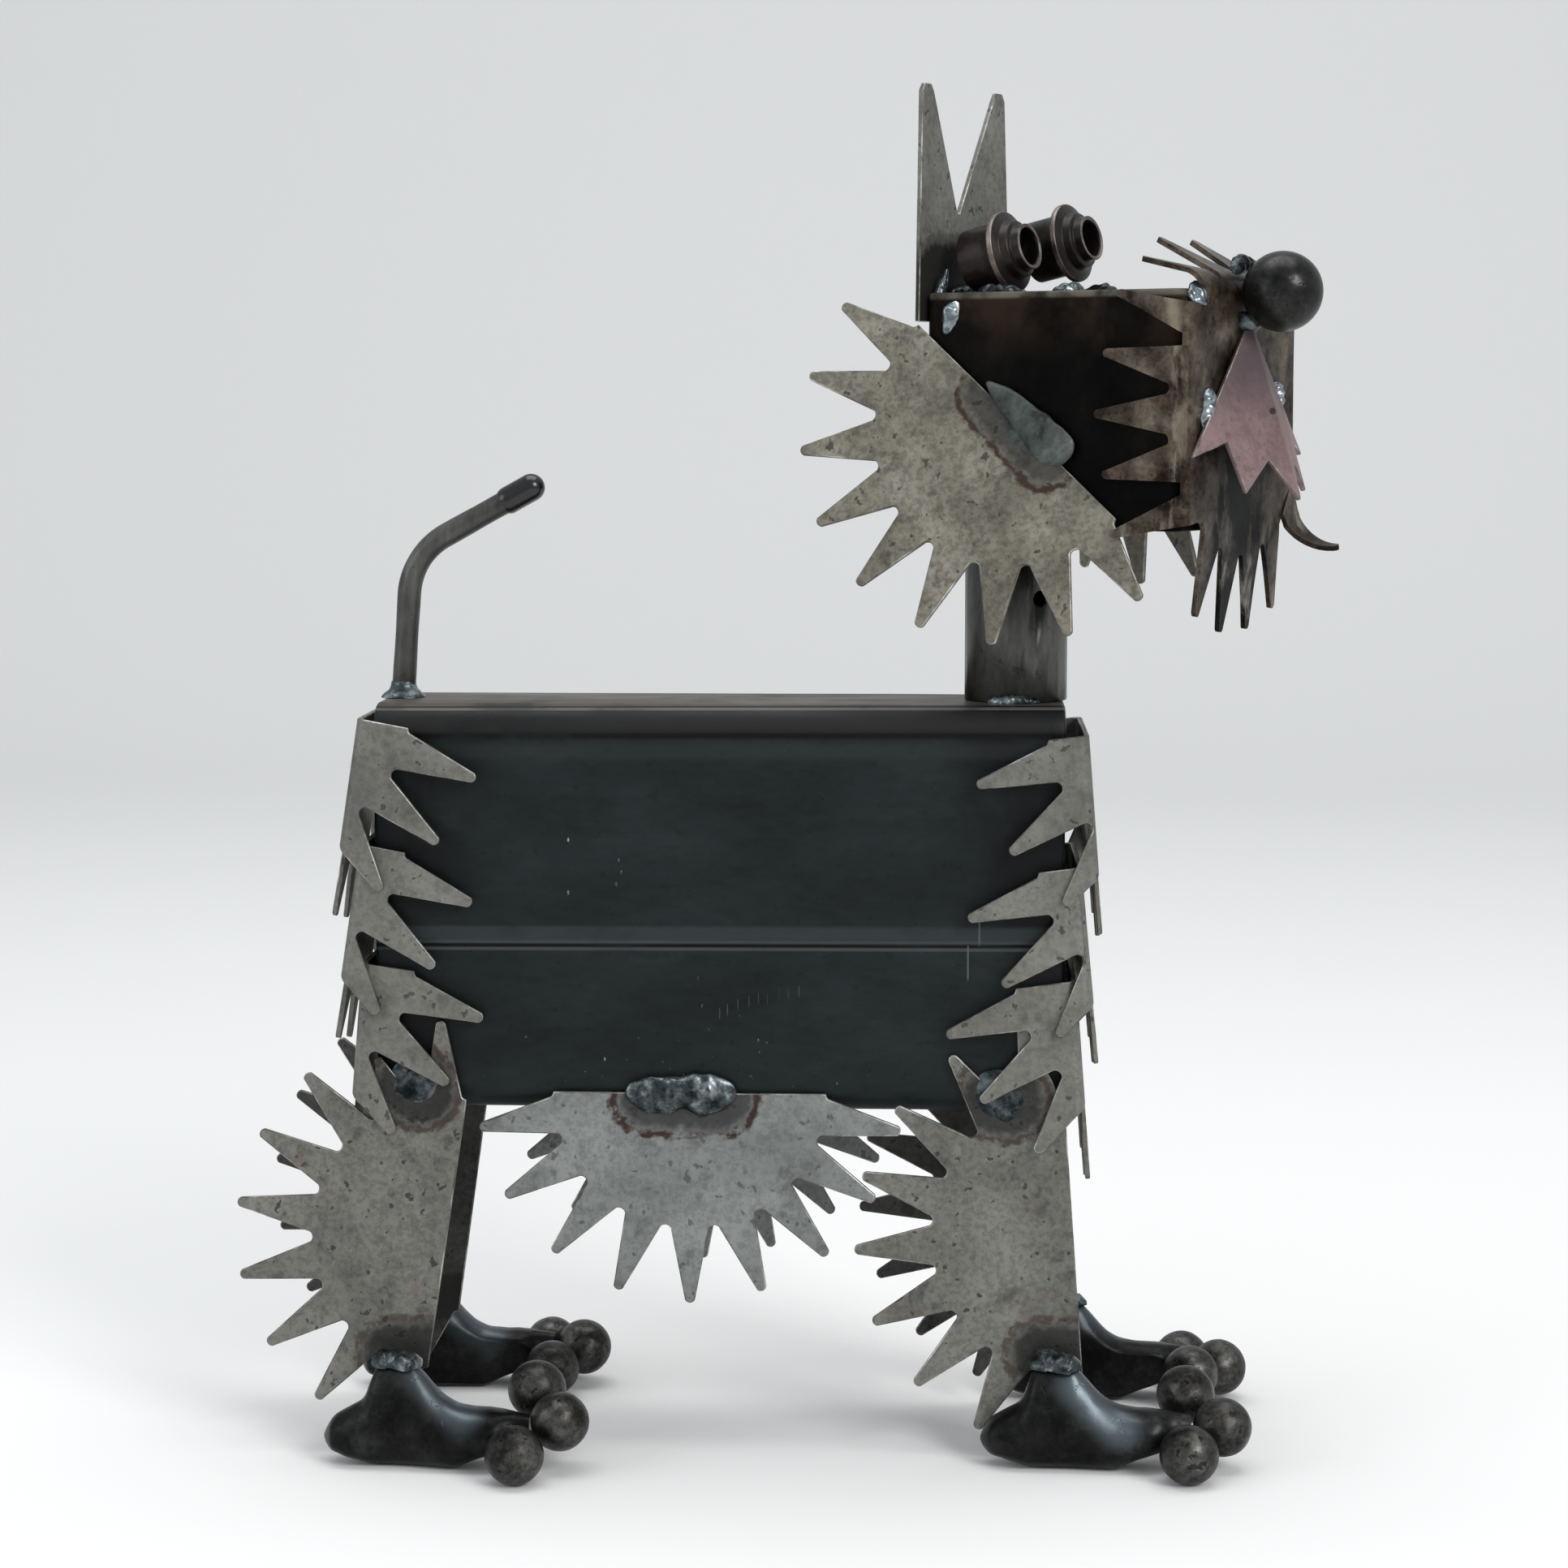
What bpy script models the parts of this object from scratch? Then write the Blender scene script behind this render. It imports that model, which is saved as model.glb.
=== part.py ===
"""Scrap metal dog, about 0.42 m tall, welded from steel offcuts.

A closed steel box is the body, a smaller one the head. The shaggy coat is half discs cut from
one toothed steel disc: folded round both ends of the body, hung at the belly, set upright as
legs and flared at the cheeks. A whole disc, its teeth folded back, is the muzzle. The dog
faces +X, its near side is -Y, and the floor is z = 0.
"""
import math

import bmesh
import bpy
import numpy as np
from mathutils import Matrix, Vector

MM = 0.001
GAP = 0.3
SHEET = 1.5

# Toothed disc that the coat is cut from, in millimetres
DISC_TEETH = 18
DISC_RADIUS = 64.0
FRONT_LEG_DISC_RADIUS = 65.4
RUFF_DISC_RADIUS = 66.5
GULLET_DEPTH = 23.2
TIP_ROUND = 1.7
GULLET_ROUND = 2.0

# Body
BODY_LENGTH = 205.0
BODY_WIDTH = 52.0
BODY_HEIGHT = 122.0
BODY_BOTTOM = 103.4
BODY_CORNER = 8.5
BODY_MIDDLE_X = -0.6
REAR_END = BODY_MIDDLE_X - BODY_LENGTH / 2
FRONT_END = BODY_MIDDLE_X + BODY_LENGTH / 2

# Fringe plates folded round the two ends of the body, top plate first
REAR_TOPS = (221.5, 184.0, 148.0)
REAR_STANDOFFS = (2.6, 2.6, 2.6)
REAR_LEANS = (8.5, 8.5, 4.5)
REAR_SHIFTS = (3.5, 1.0, 2.0)
CHEST_TOPS = (217.5, 178.5, 144.5)
CHEST_STANDOFFS = (5.2, 3.4, 2.2)
CHEST_LEANS = (4.5, 5.5, 4.5)
CHEST_SHIFTS = (0.0, 0.0, 4.0)
FRINGE_BEND = 2.5
FRINGE_FLARE = 2.0
LOW_FRINGE_FLARE = 3.5

# Legs: place of the disc's centre, direction its middle tooth points in, and the outward
# splay of the near and the far one
REAR_LEG_X = REAR_END + 21.5
REAR_LEG_Z = 66.9
REAR_LEG_TURN = 171.8
REAR_SPLAYS = (4.0, 1.5)
REAR_SNIPPED_TOOTH = 1
SNIP = 7.0
FRONT_LEG_X = FRONT_END + 3.5
FRONT_LEG_Z = 67.5
FRONT_LEG_TURN = 184.2
FRONT_SPLAYS = (1.0, 0.0)

# Belly plates
BELLY_X = BODY_MIDDLE_X - 8.6
BELLY_Z = 109.6

# Feet, near one first, and their three round toes
REAR_FEET_X = (REAR_END + 7.7, REAR_END + 4.9)
FRONT_FEET_X = (FRONT_END - 1.9, FRONT_END + 2.6)
FOOT_SIDES = 10
FOOT_HEIGHT = 31.0
FOOT_HALF_WIDTH = 9.0
STUMP_HALF_WIDTH = 6.2
TOE_OUT_REAR = 6.5
TOE_OUT_FRONT = 1.5
TOE_RADIUS = 8.7
TOE_REACH = 49.5
SIDE_TOE_REACH = 39.2
SIDE_TOE_SPREAD = 14.6
NEAR_REAR_TOE_HEIGHTS = (8.7, 15.0, 20.0)
FAR_REAR_TOE_HEIGHTS = (8.7, 11.6, 8.9)
NEAR_FRONT_TOE_HEIGHTS = (8.7, 12.8, 18.2)
FAR_FRONT_TOE_HEIGHTS = (8.7, 10.0, 12.0)

# Tail rod with its dipped cap
TAIL_DIAMETER = 7.0
TAIL_X = REAR_END + 5.1
TAIL_STRAIGHT = 31.5
TAIL_LEAN = 4.0
TAIL_BEND_RADIUS = 22.0
TAIL_BEND = 57.0
TAIL_REACH = 21.0
CAP_DIAMETER = 8.4
CAP_LENGTH = 12.5

# Neck tube
NECK_DIAMETER = 30.7
NECK_WALL = 2.0
NECK_X = FRONT_END - 14.4
NECK_HOLE = 5.0
NECK_HOLE_HEIGHT = 30.8
NECK_HOLE_TURN = -63.0

# Head box, turned toward the near side
HEAD_YAW = 30.0
HEAD_LENGTH = 84.0
HEAD_WIDTH = 70.0
HEAD_HEIGHT = 68.6
HEAD_BOTTOM = 277.7
HEAD_X = NECK_X + 26.3
HEAD_Y = 0.6
HEAD_CORNER = 3.0

# Muzzle disc
MUZZLE_RISE = -1.0
MUZZLE_STANDOFF = 1.7
MUZZLE_TILT = 5.0
MUZZLE_SIDE_BEND = 3.2
MUZZLE_TOP_BEND = 7.0
MUZZLE_TOP_FOLD = 62.0
MUZZLE_NEAR_TOP_FOLD = 76.0
MUZZLE_LOW_TOOTH_FOLD = 76.0
MUZZLE_GATHER = 0.45
MUZZLE_LONG_TOOTH = 4.0
CURL_TWIST = 38.0
CURL_RADIUS = 15.0
CURL = 92.0

# Nose, mouth, ears and eyes
NOSE_DIAMETER = 23.2
NOSE_RISE = 35.0
NOSE_SIDE = -1.0
MOUTH_RADIUS = 51.5
MOUTH_GULLET_RADIUS = 39.3
MOUTH_PITCH = 24.0
MOUTH_TOP = 24.0
MOUTH_TOP_WIDTH = 5.5
MOUTH_SIDE = -1.8
MOUTH_FORWARD_TILT = 18.2
MOUTH_FOLD = 36.0
MOUTH_BEND = 1.6
MOUTH_STANDOFF = 1.2
EAR_WIDTH = 55.0
EAR_BOTTOM = 338.0
EAR_NOTCH = 370.5
EAR_TOP = 407.5
EAR_TIP_WIDTH = 6.8
EAR_NOTCH_SIDE = -4.4
NEAR_EAR_TAPER = 1.6
FAR_EAR_TAPER = 4.2
EAR_SIDE = -10.6
EYE_SPACING = 39.0
EYE_AHEAD = 26.6
EYE_LENGTH = 20.0
FAR_EYE_RISE = 4.0
EYE_TILT = 12.0
EYE_BORE = 10.8
EYE_RIM = 13.6
EYE_BARREL = 18.6
EYE_FLANGE = 24.0

# Cheek ruff
RUFF_BACK = 52.6
RUFF_Z = 309.0
RUFF_SLOPE = 40.3
RUFF_FLARE = 19.0
FAR_RUFF_BACK = 57.8
FAR_RUFF_Z = 322.0

# Each side's name and its sign along Y
SIDES = (("near", -1.0), ("far", 1.0))

COAT_STEEL = ("coat_steel", (0.24, 0.235, 0.20), 0.48, 0.85)
DARK_STEEL = ("dark_steel", (0.020, 0.026, 0.030), 0.45, 0.7)
FORGED_STEEL = ("forged_steel", (0.018, 0.021, 0.024), 0.38, 0.8)
BALL_IRON = ("ball_iron", (0.045, 0.042, 0.037), 0.42, 0.8)
MUZZLE_STEEL = ("muzzle_steel", (0.10, 0.075, 0.05), 0.45, 0.85)
MOUTH_COPPER = ("mouth_copper", (0.23, 0.12, 0.105), 0.5, 0.6)
TUBE_STEEL = ("tube_steel", (0.09, 0.088, 0.08), 0.45, 0.85)
EYE_STEEL = ("eye_steel", (0.05, 0.038, 0.032), 0.45, 0.8)
CAP_RUBBER = ("cap_rubber", (0.006, 0.006, 0.007), 0.22, 0.0)


def material(look):
    """A Principled material from (name, colour, roughness, metallic), made once and shared."""
    name, colour, roughness, metallic = look
    if name in bpy.data.materials:
        return bpy.data.materials[name]
    made = bpy.data.materials.new(name)
    made.use_nodes = True
    shader = made.node_tree.nodes["Principled BSDF"]
    shader.inputs["Base Color"].default_value = (*colour, 1.0)
    shader.inputs["Roughness"].default_value = roughness
    shader.inputs["Metallic"].default_value = metallic
    made.diffuse_color = (*colour, 1.0)
    return made


def add_object(name, bm, look, place=None):
    """Puts a bmesh in millimetres into the scene, in metres, in its place."""
    bmesh.ops.recalc_face_normals(bm, faces=bm.faces)
    scale = Matrix.Scale(MM, 4)
    bm.transform(scale @ place if place else scale)
    mesh = bpy.data.meshes.new(name)
    bm.to_mesh(mesh)
    bm.free()
    mesh.materials.append(material(look))
    made = bpy.data.objects.new(name, mesh)
    bpy.context.collection.objects.link(made)
    return made


def polar(radius, degrees):
    """A flat point at a radius and an angle."""
    angle = math.radians(degrees)
    return np.array((radius * math.cos(angle), radius * math.sin(angle)))


def arc(centre, radius, first, last, steps):
    """Points on an arc between two angles in degrees."""
    return [centre + polar(radius, first + (last - first) * i / steps) for i in range(steps + 1)]


def flank_turn(tip_radius, root_radius, pitch):
    """Angle between a tooth's own direction and the outward normal of its flank.

    The flank is the inner tangent of two circles: the tip's rounding, inside the metal, and the
    gullet's rounding, outside it. Its normal leans off the line of centres by
    asin((tip + gullet) / distance).
    """
    tip_centre = polar(tip_radius - TIP_ROUND, 0.0)
    gullet_centre = polar(root_radius + GULLET_ROUND, pitch / 2)
    line = gullet_centre - tip_centre
    lean = math.asin((TIP_ROUND + GULLET_ROUND) / np.linalg.norm(line))
    return math.degrees(math.atan2(line[1], line[0]) - math.pi / 2 - lean)


def toothed_outline(tip_radius, teeth, start, whole=False, short=None):
    """Outline of part of the toothed disc, counter-clockwise, its first tooth at start degrees.

    A half disc begins and ends in the bottom of a gullet, so that its straight edge is the
    disc's own diameter. short maps a tooth's number to how much is snipped off its tip.
    """
    pitch = 360.0 / DISC_TEETH
    root_radius = tip_radius - GULLET_DEPTH
    points = []
    for tooth in range(teeth):
        aim = start + tooth * pitch
        reach = tip_radius - (short or {}).get(tooth, 0.0)
        turn = flank_turn(reach, root_radius, pitch)
        before = polar(root_radius + GULLET_ROUND, aim - pitch / 2)
        after = polar(root_radius + GULLET_ROUND, aim + pitch / 2)
        points += arc(before, GULLET_ROUND, aim - pitch / 2 + 180, aim - turn + 180, 1)
        points += arc(polar(reach - TIP_ROUND, aim), TIP_ROUND, aim - turn, aim + turn, 2)
        leave = arc(after, GULLET_ROUND, aim + turn + 180, aim + pitch / 2 + 180, 1)
        last = tooth == teeth - 1
        points += leave if last and not whole else leave[:-1]
    return points


def roll(points, line, out, radius, degrees, mask=None):
    """Folds what lies past a line in a sheet round a cylinder, as a press brake does.

    points are (n, 3), with the sheet's own height as the third number. line is a flat point on
    the fold's start, out the flat direction that leads past it, and radius the bend's middle
    radius. A positive angle folds toward +z.
    """
    out3 = np.array((*out, 0.0)) / np.linalg.norm(out)
    past = (points - np.array((*line, 0.0))) @ out3
    bent = np.clip(past / radius, 0.0, math.radians(abs(degrees)))
    rest = np.maximum(past - radius * bent, 0.0)
    side = math.copysign(1.0, degrees)
    height = points[:, 2] * side
    forward = (radius - height) * np.sin(bent) + rest * np.cos(bent)
    lift = radius - (radius - height) * np.cos(bent) + rest * np.sin(bent)
    moved = points + (forward - past)[:, None] * out3
    moved[:, 2] = side * lift
    keep = past <= 0.0 if mask is None else (past <= 0.0) | ~mask
    moved[keep] = points[keep]
    return moved


def bend_cuts(line, out, radius, degrees, steps):
    """Places across a bend where the flat outline is cut, so that the bend's facets fold."""
    unit = np.array(out) / np.linalg.norm(out)
    length = radius * math.radians(abs(degrees))
    return [(np.array(line) + unit * length * i / steps, unit) for i in range(steps + 1)]


def sheet(name, outline, cuts, shape, look, thickness=SHEET):
    """A steel sheet: the outline is cut along its fold lines, and shape bends both faces."""
    bm = bmesh.new()
    bm.faces.new([bm.verts.new((*point, 0.0)) for point in outline])
    bm.normal_update()
    for point, normal in cuts:
        bmesh.ops.bisect_plane(bm, geom=bm.verts[:] + bm.edges[:] + bm.faces[:], dist=1e-5,
                               plane_co=(*point, 0.0), plane_no=(*normal, 0.0))
    bmesh.ops.triangulate(bm, faces=bm.faces)
    bm.verts.index_update()
    flat = np.array([v.co[:] for v in bm.verts])
    faces = [[v.index for v in f.verts] for f in bm.faces]
    rim = [[loop.vert.index, loop.link_loop_next.vert.index]
           for f in bm.faces for loop in f.loops if loop.edge.is_boundary]
    bm.free()
    count = len(flat)
    solid = bmesh.new()
    for side in (0.5, -0.5):
        raised = flat + np.array((0.0, 0.0, side * thickness))
        for point in shape(raised):
            solid.verts.new(point)
    solid.verts.ensure_lookup_table()
    for face in faces:
        solid.faces.new([solid.verts[i] for i in face])
        solid.faces.new([solid.verts[i + count] for i in reversed(face)])
    for a, b in rim:
        solid.faces.new([solid.verts[i] for i in (b, a, a + count, b + count)])
    return add_object(name, solid, look)


def placed(points, place):
    """Applies a 4 x 4 matrix to an (n, 3) array."""
    matrix = np.array(place)
    return points @ matrix[:3, :3].T + matrix[:3, 3]


def frame(origin, across, up):
    """Matrix of a sheet's own axes: across and up in the sheet, its normal as the third."""
    x = Vector(across).normalized()
    z = x.cross(Vector(up)).normalized()
    y = z.cross(x)
    matrix = Matrix((x, y, z)).transposed().to_4x4()
    matrix.translation = origin
    return matrix


def rounded_box(name, length, width, height, corner, look, place):
    """A closed box whose four long edges are rounded, with its bottom at z = 0."""
    steps = 3
    section = []
    for quarter, (side, level) in enumerate(((1, 1), (-1, 1), (-1, 0), (1, 0))):
        centre_y = side * (width / 2 - corner)
        centre_z = height - corner if level else corner
        for i in range(steps + 1):
            angle = math.radians(90 * quarter + 90 * i / steps)
            section.append((centre_y + corner * math.cos(angle),
                            centre_z + corner * math.sin(angle)))
    bm = bmesh.new()
    rings = [[bm.verts.new((x, y, z)) for y, z in section] for x in (-length / 2, length / 2)]
    bm.faces.new(rings[0])
    bm.faces.new(rings[1])
    for i in range(len(section)):
        j = (i + 1) % len(section)
        bm.faces.new((rings[0][i], rings[0][j], rings[1][j], rings[1][i]))
    return add_object(name, bm, look, place)


def ball(name, centre, radius, look, columns=10, rows=6):
    """A forged ball."""
    bm = bmesh.new()
    bmesh.ops.create_uvsphere(bm, u_segments=columns, v_segments=rows, radius=radius)
    return add_object(name, bm, look, Matrix.Translation(centre))


def turned(name, profile, columns, look, place):
    """A closed turned piece: profile is (radius, height) pairs round its cut section."""
    bm = bmesh.new()
    rings = []
    for i in range(columns):
        angle = 2 * math.pi * i / columns
        rings.append([bm.verts.new((r * math.cos(angle), r * math.sin(angle), h))
                      for r, h in profile])
    for i in range(columns):
        here, there = rings[i], rings[(i + 1) % columns]
        for j in range(len(profile)):
            k = (j + 1) % len(profile)
            bm.faces.new((here[j], here[k], there[k], there[j]))
    return add_object(name, bm, look, place)


def body_top():
    return BODY_BOTTOM + BODY_HEIGHT


def make_body():
    place = Matrix.Translation((BODY_MIDDLE_X, 0, BODY_BOTTOM))
    rounded_box("body_box", BODY_LENGTH, BODY_WIDTH, BODY_HEIGHT, BODY_CORNER, DARK_STEEL, place)


def fringe_halves(tops, splay, disc_top):
    """Half the width and the flare of each folded plate, top plate first.

    A wing's teeth hang lowest at 50 degrees round the half disc. Down to there the lowest plate
    clears the leg sheet under it, and each of the others clears the plate below it.
    """
    hang = DISC_RADIUS * math.sin(math.radians(50.0))
    halves = []
    covered = [(z, leg_side(z, splay, disc_top)) for z in (disc_top, tops[-1] - hang)]
    for number, top in enumerate(reversed(tops)):
        flare = LOW_FRINGE_FLARE if number == 0 else FRINGE_FLARE
        spread = math.tan(math.radians(flare))
        half = max(side + SHEET + 2 * GAP - (top - z) * spread for z, side in covered)
        halves.insert(0, (half, flare))
        above = tops[-2 - number] if number < len(tops) - 1 else top
        covered = [(z, half + (top - z) * spread) for z in (top, above - hang)]
    return halves


def fringe_plate(name, facing, top, standoff, lean, shift, half, flare):
    """A half disc folded round one end of the body, teeth down, leaning out at its foot.

    facing is +1 at the chest and -1 at the rear. Both wings also flare, because the two fold
    lines part downward by the flare angle. shift is how far the disc sits toward the near side.
    """
    start = half - FRINGE_BEND
    outline = toothed_outline(DISC_RADIUS, DISC_TEETH // 2, -170.0)
    outline = [point - np.array((facing * shift, 0.0)) for point in outline]
    tilt = math.radians(flare)
    folds = [((side * start, 0.0), (side * math.cos(tilt), math.sin(tilt))) for side in (1, -1)]
    cuts = [cut for line, out in folds for cut in bend_cuts(line, out, FRINGE_BEND, 90, 3)]
    end = BODY_MIDDLE_X + facing * (BODY_LENGTH / 2 + standoff + SHEET / 2)
    place = frame((end, 0, top), (0, facing, 0), (0, 0, 1))
    place = place @ Matrix.Rotation(math.radians(-lean), 4, "X")

    def shape(points):
        for line, out in folds:
            points = roll(points, line, out, FRINGE_BEND, -90)
        return placed(points, place)

    sheet(name, outline, cuts, shape, COAT_STEEL)


def make_fringes():
    rear = fringe_halves(REAR_TOPS, max(REAR_SPLAYS), REAR_LEG_Z + DISC_RADIUS)
    chest = fringe_halves(CHEST_TOPS, max(FRONT_SPLAYS), FRONT_LEG_Z + FRONT_LEG_DISC_RADIUS)
    ends = (("rear_fringe", -1, (REAR_TOPS, REAR_STANDOFFS, REAR_LEANS, REAR_SHIFTS, rear)),
            ("chest_fringe", 1, (CHEST_TOPS, CHEST_STANDOFFS, CHEST_LEANS, CHEST_SHIFTS, chest)))
    for name, facing, rows in ends:
        for number, (top, standoff, lean, shift, (half, flare)) in enumerate(zip(*rows), 1):
            fringe_plate(f"{name}_{number}", facing, top, standoff, lean, shift, half, flare)


def leg_side(height, splay, disc_top):
    """Distance from the middle plane to a leg sheet's own middle, at a height."""
    beside_body = BODY_WIDTH / 2 + GAP + SHEET / 2
    return beside_body + (disc_top - height) * math.tan(math.radians(splay))


def leg_plate(name, side, x, z, turn, splay, radius, short=None):
    """A half disc beside the body, teeth to the rear, splayed outward below its top tooth."""
    outline = toothed_outline(radius, DISC_TEETH // 2, turn - 80.0, short=short)
    centre = leg_side(z, splay, z + radius)
    slope = math.tan(math.radians(splay))
    place = frame((x, side * centre, z), (1, 0, 0), (0, -side * slope, 1))
    sheet(name, outline, [], lambda points: placed(points, place), COAT_STEEL)


def make_legs():
    snipped = {REAR_SNIPPED_TOOTH: SNIP}
    for (word, side), rear_splay, front_splay in zip(SIDES, REAR_SPLAYS, FRONT_SPLAYS):
        leg_plate(f"rear_leg_{word}", side, REAR_LEG_X, REAR_LEG_Z, REAR_LEG_TURN,
                  rear_splay, DISC_RADIUS, snipped)
        leg_plate(f"front_leg_{word}", side, FRONT_LEG_X, FRONT_LEG_Z, FRONT_LEG_TURN,
                  front_splay, FRONT_LEG_DISC_RADIUS)


def make_belly():
    outline = toothed_outline(DISC_RADIUS, DISC_TEETH // 2, -170.0)
    for word, side in SIDES:
        middle = side * (BODY_WIDTH / 2 + GAP + SHEET / 2)
        place = frame((BELLY_X, middle, BELLY_Z), (1, 0, 0), (0, 0, 1))
        sheet(f"belly_plate_{word}", outline, [], lambda points: placed(points, place),
              COAT_STEEL)


# Foot stations: distance ahead of the stump, underside, top, and share of the full width
FOOT_STATIONS = (
    (-22.0, 5.5, 10.5, 0.30), (-19.5, 4.0, 14.0, 0.70), (-14.5, 2.2, 16.8, 0.88),
    (-8.8, 0.6, 20.0, 0.95), (-7.4, 0.0, 28.6, 0.95), (-4.5, 0.0, 30.4, 0.98),
    (5.5, 0.0, 31.0, 1.0), (9.0, 0.0, 27.0, 1.0), (13.6, 0.0, 21.6, 1.0),
    (18.0, 0.0, 19.0, 0.98), (23.5, 2.6, 18.0, 0.95), (28.4, 4.4, 17.8, 0.95),
    (32.0, 5.6, 17.6, 0.80), (34.0, 6.6, 17.4, 0.50), (40.2, 8.0, 16.4, 0.38),
)


def foot(name, side, ahead, side_offset, toe_out):
    """A forged foot lofted through its stations: a stump, a long heel and a low instep.

    Each section is a rounded rectangle, broad low down and narrower toward the stump's top. Its
    inner side never passes the stump's, because the leg sheet stands against it.
    """
    bm = bmesh.new()
    slope = math.tan(math.radians(toe_out))
    rings = []
    for distance, low, high, share in FOOT_STATIONS:
        high *= FOOT_HEIGHT / 31.0
        ring = []
        for i in range(FOOT_SIDES):
            angle = 2 * math.pi * (i + 0.5) / FOOT_SIDES
            c, s = math.cos(angle), math.sin(angle)
            y = math.copysign(abs(c) ** 0.7, c)
            level = 1.0 if abs(s) > 0.8 else abs(s) ** 0.7
            z = (low + high) / 2 + (high - low) / 2 * math.copysign(level, s)
            narrow = np.interp(z, (12.0, 26.0), (FOOT_HALF_WIDTH, STUMP_HALF_WIDTH))
            across = y * share * narrow
            drift = max(distance, 0.0) * slope
            across = max(across, -STUMP_HALF_WIDTH) + drift
            ring.append(bm.verts.new((ahead + distance, side * (side_offset + across), z)))
        rings.append(ring)
    for here, there in zip(rings, rings[1:]):
        for i in range(FOOT_SIDES):
            j = (i + 1) % FOOT_SIDES
            bm.faces.new((here[i], here[j], there[j], there[i]))
    bm.faces.new(rings[0])
    bm.faces.new(rings[-1])
    add_object(name, bm, FORGED_STEEL)


def make_feet():
    """Four feet, each against the outer face of its leg, with three round toes in front."""
    legs = (("rear", REAR_FEET_X, REAR_SPLAYS, REAR_LEG_Z + DISC_RADIUS, TOE_OUT_REAR,
             (NEAR_REAR_TOE_HEIGHTS, FAR_REAR_TOE_HEIGHTS)),
            ("front", FRONT_FEET_X, FRONT_SPLAYS, FRONT_LEG_Z + FRONT_LEG_DISC_RADIUS,
             TOE_OUT_FRONT, (NEAR_FRONT_TOE_HEIGHTS, FAR_FRONT_TOE_HEIGHTS)))
    for place, feet_x, splays, disc_top, toe_out, heights in legs:
        turn = math.radians(toe_out)
        for (word, side), ahead, splay, levels in zip(SIDES, feet_x, splays, heights):
            centre = leg_side(0.0, splay, disc_top) + SHEET / 2 + GAP + STUMP_HALF_WIDTH
            foot(f"{place}_foot_{word}", side, ahead, centre, toe_out)
            toes = (("outer", SIDE_TOE_REACH, SIDE_TOE_SPREAD),
                    ("middle", TOE_REACH, 0.0),
                    ("inner", SIDE_TOE_REACH, -SIDE_TOE_SPREAD))
            for (toe, reach, spread), height in zip(toes, levels):
                along = ahead + reach * math.cos(turn) - spread * math.sin(turn)
                across = centre + reach * math.sin(turn) + spread * math.cos(turn)
                ball(f"{place}_toe_{toe}_{word}", (along, side * across, height),
                     TOE_RADIUS, BALL_IRON)


def tail_path():
    """Middle line of the tail: up, round one bend and on, as (x, z) points and their slopes."""
    lean = math.radians(TAIL_LEAN)
    x, z, heading = TAIL_X, body_top() + GAP, math.pi / 2 - lean
    path = [(x, z, heading)]
    x += TAIL_STRAIGHT * math.cos(heading)
    z += TAIL_STRAIGHT * math.sin(heading)
    path.append((x, z, heading))
    steps = 6
    turn = math.radians(TAIL_BEND) / steps
    for _ in range(steps):
        chord = 2 * TAIL_BEND_RADIUS * math.sin(turn / 2)
        x += chord * math.cos(heading - turn / 2)
        z += chord * math.sin(heading - turn / 2)
        heading -= turn
        path.append((x, z, heading))
    x += TAIL_REACH * math.cos(heading)
    z += TAIL_REACH * math.sin(heading)
    path.append((x, z, heading))
    return path


def tube_along(name, path, look, columns=8, rounded_end=0.0):
    """A round bar through (x, z, heading, radius) stations in the middle plane."""
    bm = bmesh.new()
    rings = []
    for x, z, heading, radius in path:
        ring = []
        for i in range(columns):
            angle = 2 * math.pi * (i + 0.5) / columns
            lift = radius * math.cos(angle)
            ring.append(bm.verts.new((x - lift * math.sin(heading), radius * math.sin(angle),
                                      z + lift * math.cos(heading))))
        rings.append(ring)
    for here, there in zip(rings, rings[1:]):
        for i in range(columns):
            j = (i + 1) % columns
            bm.faces.new((here[i], here[j], there[j], there[i]))
    bm.faces.new(rings[0])
    bm.faces.new(rings[-1])
    add_object(name, bm, look)


def make_tail():
    path = tail_path()
    tube_along("tail_rod", [(*station, TAIL_DIAMETER / 2) for station in path], TUBE_STEEL)
    x, z, heading = path[-1]
    radius = CAP_DIAMETER / 2
    stations = []
    for along, share in ((GAP, 0.85), (1.5, 1.0), (CAP_LENGTH - radius, 1.0),
                         (CAP_LENGTH - 0.5 * radius, 0.87), (CAP_LENGTH - 0.13 * radius, 0.5),
                         (CAP_LENGTH, 0.1)):
        stations.append((x + along * math.cos(heading), z + along * math.sin(heading), heading,
                         radius * share))
    tube_along("tail_cap", stations, CAP_RUBBER)


def make_neck():
    """A steel tube between the two boxes, with one small drilled hole in its near side."""
    low = body_top() + GAP
    high = HEAD_BOTTOM - GAP
    outer = NECK_DIAMETER / 2
    inner = outer - NECK_WALL
    profile = [(inner, low), (outer, low), (outer, high), (inner, high)]
    tube = turned("neck_tube", profile, 20, TUBE_STEEL, Matrix.Translation((NECK_X, 0, 0)))
    bm = bmesh.new()
    reach = Matrix.Translation((outer, 0, 0)) @ Matrix.Rotation(math.pi / 2, 4, "Y")
    bmesh.ops.create_cone(bm, cap_ends=True, segments=10, radius1=NECK_HOLE / 2,
                          radius2=NECK_HOLE / 2, depth=4 * NECK_WALL, matrix=reach)
    turn = Matrix.Rotation(math.radians(NECK_HOLE_TURN), 4, "Z")
    place = Matrix.Translation((NECK_X, 0, low + NECK_HOLE_HEIGHT)) @ turn
    cutter = add_object("neck_hole_cutter", bm, TUBE_STEEL, place)
    cutter.hide_render = True
    cutter.display_type = "WIRE"
    cut = tube.modifiers.new("drilled hole", "BOOLEAN")
    cut.object = cutter
    cut.operation = "DIFFERENCE"


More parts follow.
